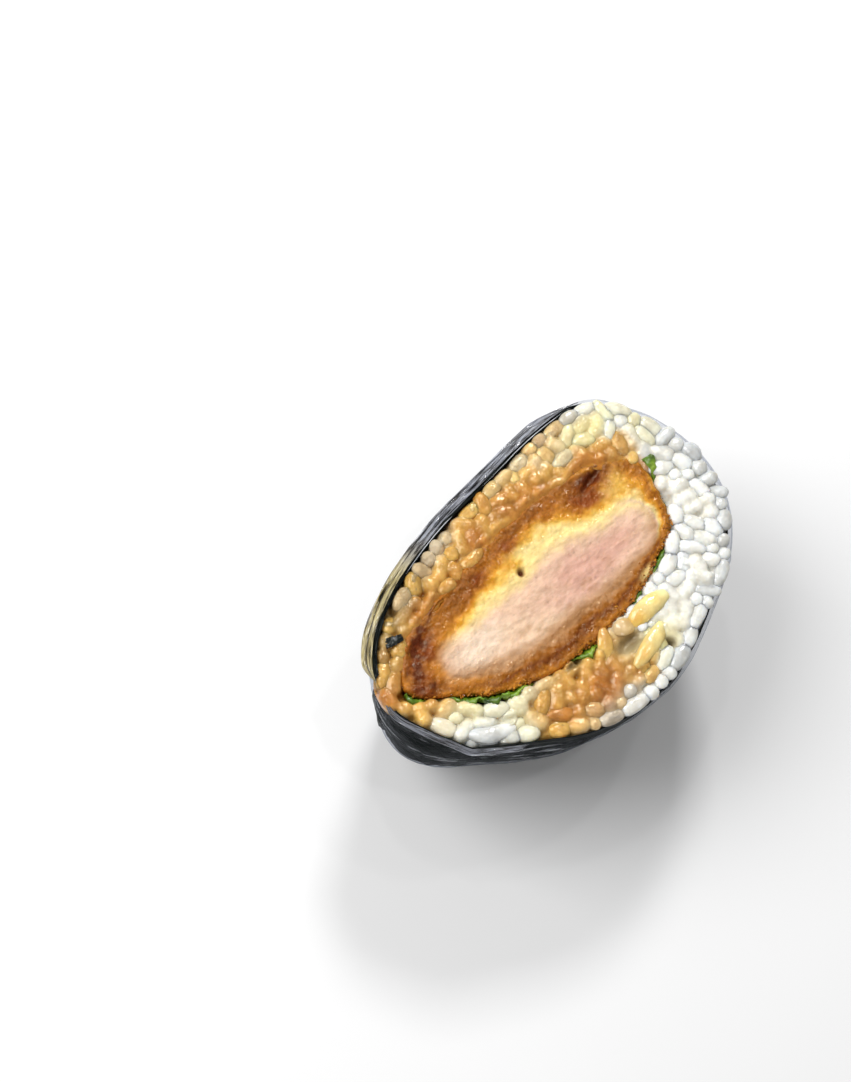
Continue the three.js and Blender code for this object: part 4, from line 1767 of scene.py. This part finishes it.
@dataclass
class Crumbs:
    """Crumbs of breading, scattered along the cutlet's cut edge where the rice leaves it free."""

    place: Place
    crust: Outline
    count: int = 380
    size: float = 0.32
    seed: int = 33
    shapes: int = 4

    def _crumb(self, number: int) -> Piece:
        """Makes one ragged crumb, 2 units wide before it is sized."""
        polar = np.linspace(0, math.pi, 6)[1:-1, None]
        turn = np.linspace(0, math.tau, 6, endpoint=False)
        rings = [np.cos(turn) * np.sin(polar), np.sin(turn) * np.sin(polar), np.cos(polar) + 0 * turn]
        vertices, faces = closed_rings(np.stack(rings, axis=2), 0.2)
        ragged = 1 + 0.6 * noise(vertices, 0.8, self.seed + number)
        return loose_shape(f"crumb_shape_{number}", vertices * ragged[:, None] * [1.1, 0.7, 0.4], faces)

    def build(self) -> None:
        """Builds, dresses and places the crumbs."""
        rng = np.random.default_rng(self.seed)
        at = rng.integers(0, len(self.crust.loop), 4 * self.count)
        depth = rng.gamma(1.3, 0.5, len(at)) - 0.2
        flat = self.crust.loop[at] - self.crust.normals()[at] * depth[:, None]
        share = 0.06 + smooth(6, -2, flat[:, 1]) * (0.5 + 0.8 * noise(flat, 4, 34))
        flat = flat[rng.random(len(at)) < share][: self.count]
        count = len(flat)
        points = np.column_stack([flat, rng.uniform(-0.45, -0.12, count)])
        shape = rng.integers(0, self.shapes, count)
        tones = (Tone.CRUST_DARK, Tone.CRUST_BROWN, Tone.CRUST_ORANGE, Tone.CRUST_GOLD)
        tint = ramp([(k / 3, tone) for k, tone in enumerate(tones)], rng.beta(2.4, 3.0, count))
        mesh = self.place.mesh("crumb_points", points, [], shape=shape, tint=tint)
        recipe = Recipe("crumb_scatter")
        g = recipe.graph
        size, seed = recipe.number("Crumb size"), recipe.number("Seed", "NodeSocketInt")
        chance, any_way = "FunctionNodeRandomValue", {0: (0.0,) * 3, 1: (math.tau,) * 3, "Seed": seed}
        turn = g.node(chance, {"data_type": "FLOAT_VECTOR"}, any_way)
        grow = g.node(chance, {"data_type": "FLOAT"}, {2: 0.5, 3: 1.5, "Seed": seed}, 1)
        real = recipe.scattered([self._crumb(k) for k in range(self.shapes)], turn, grow * size)
        values = {"Crumb size": self.size * MM, "Seed": self.seed}
        self.place.adopt(recipe.run("crumbs", real, CrumbFinish(), mesh, values), "cutlet")


LEAF_SHOWS = spots(
    (-24, -7.2, 7.6, 3, 1, -30), (-38, 1.4, 2.2, 2.6, 1), (-3, -12.9, 2.8, 2.8, 1),
    (22.4, -8, 3.2, 3.2, 0.7), (33.3, 8.8, 2.4, 3.2, 1), (14, -10.6, 5, 3, 0.3),
)


@dataclass
class Leaf:
    """A crumpled leaf between the cutlet and the rice, whose folded edge shows at the cut."""

    form: CutletForm
    thickness: float = 0.35
    fold: float = 0.8
    tip: Spot = Spot(33.4, 8.6, 2, 3.4)
    start: tuple[float, float] = (-38.5, 3.5)
    end: tuple[float, float] = (32.8, 12.5)
    columns: int = 420
    seed: int = 81

    def build(self) -> None:
        """Builds and dresses the leaf."""
        line, out = self.form.outline.stretch(self.start, self.end, self.columns)
        along = np.arange(self.columns) * np.linalg.norm(np.diff(line, axis=0), axis=1).mean()
        shows = np.clip(strongest(LEAF_SHOWS, line), 0, 1)
        depth = float(self.form.place.local("leaf")[0][:, 2].min())
        tops = -1.8 + 2.3 * shows + 0.5 * noise(along[:, None], 1.3, self.seed, 2)
        shares = np.concatenate([np.linspace(0, 0.12, 9), np.linspace(0.16, 1, 12)])
        front, back = [], []
        for share in shares:
            heights = tops * (1 - share) + depth * share
            near = smooth(-3.5, 0, heights) * shows
            probe = np.column_stack([along, 3.0 * heights])
            crumple = 0.8 * noise(probe, 1.3, self.seed + 1, 2) * (0.3 + 0.7 * shows)
            lean = 0.1 + 0.7 * near**1.5 + crumple
            carried = np.stack([self.form.at(line[k : k + 1], h)[0] for k, h in enumerate(heights)])
            side = np.column_stack([out, np.zeros(len(out))])
            front.append(carried + side * lean[:, None])
            fold = self.fold * (0.6 + noise(along[:, None], 1.1, self.seed + 3)) + 0.9 * self.tip.at(line)
            thick = self.thickness + near * fold
            back.append(carried + side * (lean + thick)[:, None] - [0, 0, 0.15])
        vertices, faces = sheet(np.stack(front), np.stack(back))
        shade = np.clip(0.45 + 0.7 * noise(vertices, 2, self.seed + 2, 3), 0, 1)
        stops = [(0.0, Tone.LEAF_DARK), (0.5, Tone.LEAF_MID), (1.0, Tone.LEAF_PALE)]
        self.form.place.fit("leaf", "leaf_sheet", LeafFinish(), vertices, faces, tint=ramp(stops, shade))


# ---- Nori and film ----


@dataclass
class Nori:
    """The folded sheet of nori round the rice."""

    place: Place
    columns: int = 460
    rows: int = 60
    thickness: float = 0.25
    lean_depth: float = 9.0
    leans: Spots = spots(
        (-35, 15.5, 11, 6, 0.1, 35), (-39, -7, 8, 6, 1.4, 90), (-27, -20, 10, 5, 1.2, -32),
    )
    wall: Wall = field(init=False)
    inwards: Lattice = field(init=False)
    rim: Outline = field(init=False)

    def __post_init__(self) -> None:
        """Finds the line of the sheet's edge at the cut."""
        self.wall = Wall(self.place, "nori")
        ring = Outline(resample(eased(self.wall.ring(-0.4, all_round(720)), 4), 420))
        self.inwards = Lattice.distance(ring).blurred(1.5)
        edge = np.column_stack([ring.loop, np.zeros(len(ring.loop))])
        self.rim = Outline(resample(self.leaned(edge)[:, :2], 420))

    def leaned(self, points: Array) -> Array:
        """Returns points near the cut moved inwards where the edge has folded over the rice."""
        moved = points.reshape(-1, 3).copy()
        amount = strongest(self.leans, moved) * smooth(-self.lean_depth, 0.0, moved[:, 2])
        moved[:, :2] += self.inwards.slope(moved) * amount[:, None]
        return moved.reshape(points.shape)

    def build(self) -> None:
        """Builds and dresses the nori."""
        angles = directions(self.rim, self.columns)
        steps = 0.5 * (1 - np.cos(np.linspace(0, math.pi, self.rows)))
        low = self.wall.low + 0.1
        grid = self.wall.skin(angles, -0.35 + (low + 0.35) * steps)
        grid[..., :2] = np.stack([eased(row, 3) for row in grid[..., :2]])
        top = self._edge_height(grid[0])
        grid[..., 2] = low + (grid[..., 2] - low) * ((top - low) / (-0.35 - low))[None]
        grid = self.leaned(grid)
        outward = skin_normals(grid)
        move = self._wrinkles(grid.reshape(-1, 3)).reshape(grid.shape[:2])
        move = move * smooth(0, 2, grid[..., 2] - low)
        outer = grid + outward * move[..., None]
        skin = gathered_cup(outer, outward, (0.8, 0.55, 0.3, 0.1), self.thickness, flat_rim=True)
        self.place.fit("nori", "nori_sheet", NoriFinish(), *skin)

    def _edge_height(self, ring: Array) -> Array:
        """Returns the ragged cut edge's height, with the gap at the short end."""
        ragged = -0.1 + 0.22 * noise(ring[:, :2], 1.6, 91, 3) - 1.5 * strongest(BULGES, ring)
        gap = (1 - smooth(2.6, 4.2, np.abs(ring[:, 1] - 6.2))) * (ring[:, 0] < 0)
        return ragged - 8.0 * gap

    def _wrinkles(self, p: Array) -> Array:
        """Returns how far the sheet stands off its wall at each point."""
        calm = 0.2 + 0.8 * smooth(-0.6, -4, p[:, 2])
        ridge = 1 - np.abs(noise(p * [1, 1, 0.45], 5.0, 92, 3)) * 2.2
        bunched = smooth(8, -6, p[:, 0] + 0.4 * p[:, 1]) * smooth(12, -2, p[:, 1])
        fold = 1 - 2.4 * np.abs(noise(p * [0.16, 0.16, 1.0], 2.4, 93, 2))
        crinkle = 0.16 * ridge + 0.06 * noise(p, 1.6, 94, 2) + 0.5 * bunched * fold
        crinkle += 0.22 * bunched * (1 - 2.4 * np.abs(noise(p * [0.5, 0.5, 1.0], 1.8, 99, 2)))
        flap = 0.3 * smooth(-0.15, 0.15, p[:, 0] * 0.55 + p[:, 2] + 16) * (p[:, 1] > 0)
        return crinkle * calm + flap * smooth(-2, -8, p[:, 2]) - 0.15


@dataclass
class Film:
    """One turn of clear film, creased over the nori and loose along one side."""

    place: Place
    columns: int = 520
    rows: int = 70
    thickness: float = 0.06
    snug: float = 0.7

    def build(self, nori: Nori) -> None:
        """Builds and dresses the film, which hugs the nori near the cut."""
        wall = Wall(self.place, "film")
        angles = all_round(self.columns)
        steps = np.linspace(0, 1, self.rows)
        steps = 0.6 * steps + 0.2 * (1 - np.cos(math.pi * steps))
        low = wall.low + 0.12
        heights = -0.15 + (low + 0.15) * steps
        grid = wall.skin(angles, heights)
        within = nori.wall.skin(angles, np.maximum(heights, nori.wall.low + 1.0))
        reach, least = (np.linalg.norm(skin[..., :2], axis=2) for skin in (grid, within))
        spare = np.maximum(reach - least - self.snug, 0.0) * smooth(-3, -20, heights)[:, None]
        grid[..., :2] *= (np.minimum(reach, least + self.snug + spare) / reach)[..., None]
        grid[..., :2] = np.stack([eased(row, 3) for row in grid[..., :2]])
        grid = nori.leaned(grid)
        outward = skin_normals(grid)
        move = self._creases(grid.reshape(-1, 3)).reshape(grid.shape[:2])
        move = move * smooth(0, 3, grid[..., 2] - low)
        outer = grid + outward * move[..., None]
        outer[0, :, 2] += 0.25 * noise(grid[0], 5, 97, 2) - 1.3 * strongest(BULGES, grid[0])
        outer[..., 2] = np.maximum(outer[..., 2], wall.low + 0.03)
        skin = gathered_cup(outer, outward, (0.75, 0.5, 0.25), self.thickness)
        self.place.fit("film", "film_wrap", FilmFinish(), *skin)

    def _creases(self, p: Array) -> Array:
        """Returns how far the film stands off at each point: sharp folds over broad waves."""
        fold = np.abs(noise(p * [0.3, 0.3, 1.0], 4.0, 95, 2))
        return 0.22 * (1 - np.clip(fold * 3.0, 0, 1)) ** 2 + 0.15 * noise(p, 9, 96, 2)


@dataclass(frozen=True)
class Hem:
    """A narrow strip gathered in folds along the nori's edge.

    It runs counterclockwise from start to end, and across from near to far. Both are a distance
    out of the edge and a height. It has its finish's name, and stands for the node which that
    name starts with.
    """

    finish: Finish
    start: tuple[float, float]
    end: tuple[float, float]
    near: tuple[float, float]
    far: tuple[float, float]
    fold: float
    wave: float = 0.9
    ragged: float = 0.2
    thickness: float = 0.08
    tones: tuple[Tone, Tone] = (Tone.FILM_GREY, Tone.FILM_OLIVE)
    columns: int = 380
    rows: int = 22
    seed: int = 98

    def build(self, place: Place, rim: Outline) -> None:
        """Builds, dresses and places the strip.

        Args:
            place: The frame's place.
            rim: The nori's edge at the cut.
        """
        line, out = rim.stretch(self.start, self.end, self.columns)
        share = np.linspace(0, 1, self.columns)
        taper = smooth(0, 0.15, share) * smooth(1, 0.93, share)
        along = share * np.linalg.norm(np.diff(line, axis=0), axis=1).sum()
        rows, lie = [], []
        for across in np.linspace(0, 1, self.rows):
            away, height = (a + (b - a) * across * taper for a, b in zip(self.near, self.far))
            probe = np.column_stack([0.12 * along, np.full(self.columns, across * abs(self.far[0]))])
            fold = 1 - 2.2 * np.abs(noise(probe, self.wave, self.seed, 2))
            away = away + self.ragged * noise(probe, 2.0 * self.wave, self.seed + 1, 2)
            height = height - 1.5 * strongest(BULGES, line)
            rows.append(np.column_stack([line + out * away[:, None], height + self.fold * fold * taper]))
            lie += [(0.16 * a, 4.5 * across, 0.0) for a in along]
        top = np.stack(rows)
        vertices, faces = sheet(top, top - [0, 0, self.thickness])
        tint = blend(*self.tones, smooth(0.55, 0.72, np.tile(share, 2 * self.rows)))
        node, name = self.finish.name.split("_")[0], self.finish.name
        place.fit(node, name, self.finish, vertices, faces, tint=tint, way_lie=np.tile(lie, (2, 1)))


NORI_HEMS = (
    Hem(
        NoriFinish("nori_hem", 0.25), (26, 28.9), (-40.8, 11.6), (0.35, 0.1), (-0.15, 0.35),
        fold=0.3, wave=0.6, ragged=0.4, thickness=0.3,
    ),
    Hem(
        NoriFinish("nori_claw", 0.25), (-31, 19), (-41.8, 9.6), (0.3, 0.3), (-0.8, 0.6),
        fold=0.3, wave=0.6, ragged=0.5, thickness=0.3, seed=88,
    ),
    Hem(
        NoriFinish("nori_lip", 0.25), (32, 28.3), (-41.6, 8.6), (-0.1, 0), (2.4, -1.7),
        fold=0.4, thickness=0.3, seed=86,
    ),
)
FILM_HEMS = (
    Hem(GatheredFilmFinish("film_bunch"), (31, 28.5), (-42.3, 8.2), (0.3, 0.25), (2.6, -1.1), fold=0.7),
    Hem(
        GatheredFilmFinish("film_hem", 0.6), (-42.8, 7), (-26, -21.2), (0.1, 0.2), (1.2, -0.5),
        fold=0.3, tones=(Tone.FILM_GREY, Tone.FILM_GREY), seed=90,
    ),
)


# ---- Trimmings ----


@dataclass(frozen=True)
class Morsel:
    """A soft bent piece that tapers towards its ends, such as a long grain or a slice of pickle."""

    name: str
    path: tuple[tuple[float, float, float], ...]
    width: tuple[float, float]
    height: float
    tones: tuple[Tone, Tone]
    blunt: tuple[float, float] = (0.5, 0.5)

    def build(self, place: Place) -> None:
        """Builds, dresses and places the morsel."""
        t = 0.5 * (1 - np.cos(np.linspace(0.0, math.pi, 30)))
        line = resample(curve(self.path, closed=False), 400, closed=False)[np.round(399 * t).astype(int)]
        girth = np.clip(t * (1 - t) * 4, 0, 1) ** np.where(t < 0.5, *self.blunt)
        run = unit(np.gradient(line, axis=0))
        side = unit(np.cross([0.0, 0.0, 1.0], run))
        up = np.cross(run, side)
        turn = np.linspace(0, math.tau, 20, endpoint=False)
        wide = 0.5 * (self.width[0] * (1 - t) + self.width[1] * t) * girth
        high = 0.5 * self.height * girth
        rings = (
            line[1:-1, None]
            + side[1:-1, None] * (wide[1:-1, None] * np.cos(turn))[..., None]
            + up[1:-1, None] * (high[1:-1, None] * np.sin(turn))[..., None]
        )
        vertices, faces = closed_rings(rings[:, ::-1], 0.02)
        vertices = vertices + 0.12 * noise(vertices, 1.6, 55, 2)[:, None]
        along = np.append(np.repeat(t[1:-1], len(turn)), [0.0, 1.0])
        shade = np.clip(along + 0.5 * noise(vertices, 3, 56, 2), 0, 1)
        finish = RiceFinish(self.name, wet=0.5, see_in=0.5)
        place.fit("rice", self.name, finish, vertices, faces, tint=blend(*self.tones, shade))


MORSELS = (
    Morsel(
        "pickle_slice",
        ((7.6, -15, -0.6), (10, -14.3, 0.1), (14.5, -14, 0.2), (20, -14.7, -0.7)),
        (4.8, 4), 2.6, (Tone.PICKLE_EDGE, Tone.PICKLE), (0.4, 0.6),
    ),
    Morsel(
        "amber_grain",
        ((2.7, -11.4, 0), (1, -14, 0.3), (-1.2, -17.4, -0.5)),
        (2.8, 3.8), 1.3, (Tone.AMBER, Tone.GOLD_RICE), (0.4, 0.5),
    ),
    Morsel(
        "pearl_grain",
        ((-33.8, -10.2, -0.8), (-30.5, -13.4, -0.1), (-24.6, -15.8, -0.6)),
        (3.4, 3.6), 2.6, (Tone.PEARL_RICE, Tone.WHITE_RICE),
    ),
    Morsel(
        "cream_slice",
        ((14.4, -18.4, -0.7), (10, -19.8, 0.1), (6, -21, 0.1), (1.6, -22.2, -0.7)),
        (4.4, 3.2), 2.2, (Tone.CREAM_RICE, Tone.GOLD_RICE),
    ),
    Morsel(
        "clear_grain",
        ((3.9, -13.4, -0.5), (6.2, -14, 0.2), (8.4, -15.4, -0.5)),
        (3.6, 3.8), 1.7, (Tone.PALE_AMBER, Tone.GOLD_RICE),
    ),
)


@dataclass(frozen=True)
class NoriFlake:
    """A loose flake of nori stuck on the rice."""

    x: float = -33.0
    y: float = 13.3
    z: float = 0.75
    length: float = 3.9
    width: float = 2.1
    turn: float = -16.0
    thickness: float = 0.25

    def build(self, place: Place) -> None:
        """Builds, dresses and places the flake."""
        u, v = np.meshgrid(np.linspace(-0.5, 0.5, 22), np.linspace(-0.5, 0.5, 14))
        flat = np.stack([u * self.length, v * self.width * (1 - 0.25 * (u > 0.1))], axis=2)
        jagged = [noise(flat.reshape(-1, 2), 0.9, seed, 2).reshape(u.shape) for seed in (51, 52)]
        flat = flat + 0.12 * np.stack(jagged, axis=2)
        angle = math.radians(self.turn)
        c, s = math.cos(angle), math.sin(angle)
        x = self.x + c * flat[..., 0] - s * flat[..., 1]
        y = self.y + s * flat[..., 0] + c * flat[..., 1]
        z = self.z + 0.4 * noise(flat.reshape(-1, 2), 0.8, 53, 2).reshape(u.shape) - 0.9 * u**2
        top = np.stack([x, y, z], axis=2)[::-1]
        skin = sheet(top, top - [0, 0, self.thickness])
        place.fit("nori", "nori_flake", NoriFinish("nori_flake", wet=1.0), *skin)


# ---- Studio ----


@dataclass
class Studio:
    """The floor, the lamps and the camera."""

    place: Place
    tilt: float = math.radians(17.0)
    foot: float = math.radians(207.0)
    length_on_screen: float = math.radians(38.0)
    distance: float = 400.0
    view_height: float = 222.909
    face_right: float = 27.091
    face_down: float = 10.795
    sensor: float = 36.0

    def build(self) -> None:
        """Sets up everything that isn't the object."""
        bpy.context.scene.view_settings.view_transform = "Standard"
        self._floor()
        self._camera()
        self._lamp("key", (330, 380, 520), 120, 2.4)
        self._lamp("soft", (-300, 400, 560), 450, 4.2)
        for number, at in enumerate(((240, 110, 620), (60, -60, 650), (60, 260, 620))):
            self._lamp(f"glint_{number}", at, 22, 0.2)
        self._lamp("edge", (-560, -480, 230), 60, 0.5)
        world = bpy.data.worlds.new("sky")
        world.use_nodes = True
        background = world.node_tree.nodes["Background"]
        background.inputs["Color"].default_value = (1.0, 1.0, 1.0, 1.0)
        background.inputs["Strength"].default_value = 0.25
        bpy.context.scene.world = world

    def _floor(self) -> None:
        """Lays the floor."""
        half = 2000.0
        corners = np.array([[-half, -half], [half, -half], [half, half], [-half, half]])
        vertices = np.column_stack([corners, np.full(4, -self.place.origin[2])])
        self.place.make("floor", FloorFinish(), vertices, [[0, 1, 2, 3]])

    def _axes(self) -> tuple[Array, Array, Array]:
        """Returns the camera's right, up and backward directions."""
        flat = math.sin(self.tilt)
        back = np.array([flat * math.cos(self.foot), flat * math.sin(self.foot), math.cos(self.tilt)])
        up = unit(np.array([0.0, 0.0, 1.0]) - back * back[2])
        right = np.cross(up, back)
        roll = self.length_on_screen - math.atan2(up[0], right[0])
        c, s = math.cos(roll), math.sin(roll)
        return c * right - s * up, s * right + c * up, back

    def _camera(self) -> None:
        """Looks down at the face, which lies to the right of and below the middle of the view."""
        right, up, back = self._axes()
        off = self.distance * back - self.face_right * right + self.face_down * up
        data = bpy.data.cameras.new("camera")
        data.lens = self.sensor * self.distance / self.view_height
        data.sensor_width = self.sensor
        data.clip_start = 0.01
        camera = bpy.data.objects.new("camera", data)
        turned = Matrix((right, up, back)).transposed().to_4x4()
        camera.matrix_world = Matrix.Translation(Vector((self.place.origin + off) * MM)) @ turned
        bpy.context.scene.collection.objects.link(camera)
        bpy.context.scene.camera = camera

    def _lamp(self, name: str, at: Sequence[float], size: float, power: float) -> None:
        """Hangs a square lamp that faces the cut face.

        Args:
            name: The lamp's name.
            at: Its place in mm from the middle of the face.
            size: Its width, in mm.
            power: Its power, in watts.
        """
        data = bpy.data.lights.new(name, "AREA")
        data.size = size * MM
        data.energy = power
        lamp = bpy.data.objects.new(name, data)
        target = Vector(self.place.origin * MM)
        lamp.location = target + Vector(at) * MM
        lamp.rotation_euler = (target - lamp.location).to_track_quat("-Z", "Y").to_euler()
        bpy.context.scene.collection.objects.link(lamp)


# ---- All of it ----


def crust_outline(place: Place) -> Outline:
    """Reads the cutlet's edge at the cut from the frame, and roughens it."""
    ring = Outline(resample(eased(Wall(place, "cutlet").ring(-1.2, all_round(720)), 3), 520))
    bumps = 0.45 * noise(ring.loop, 3.4, 67, 2) + 0.2 * noise(ring.loop, 1.1, 68)
    return ring.moved(0.2 + bumps)


def rice_outline(nori: Nori) -> Outline:
    """Returns the line inside which the rice lies: up to the nori, and past it at its gap."""
    gap = Spot(-42, 6, 5, 4.6, 1.6)
    return nori.rim.moved(gap.at(nori.rim.loop) - 0.35)


def filling_outline(crust: Outline) -> Outline:
    """Returns the line that the rice keeps off: outside the leaf, but over the sauced crust."""
    leaf = 1.5 * strongest(LEAF_SHOWS, crust.loop)
    sauced = smooth(5, 12, crust.loop[:, 1]) * (1.4 + 1.2 * noise(crust.loop, 4, 69, 2))
    return crust.moved(0.1 + leaf - sauced)


def main() -> None:
    """Builds the whole scene round the frame."""
    logging.basicConfig(level=logging.INFO, format="%(name)s: %(message)s")
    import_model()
    place = Place()
    nori = Nori(place)
    crust = crust_outline(place)
    form = CutletForm(place, crust)
    Cutlet(form).build()
    Crumbs(place, crust).build()
    Leaf(form).build()
    Rice(place, rice_outline(nori), filling_outline(crust)).build()
    for morsel in MORSELS:
        morsel.build(place)
    nori.build()
    NoriFlake().build(place)
    for hem in NORI_HEMS:
        hem.build(place, nori.rim)
    Film(place).build(nori)
    for hem in FILM_HEMS:
        hem.build(place, nori.rim)
    Studio(place).build()


if __name__ == "__main__":
    main()
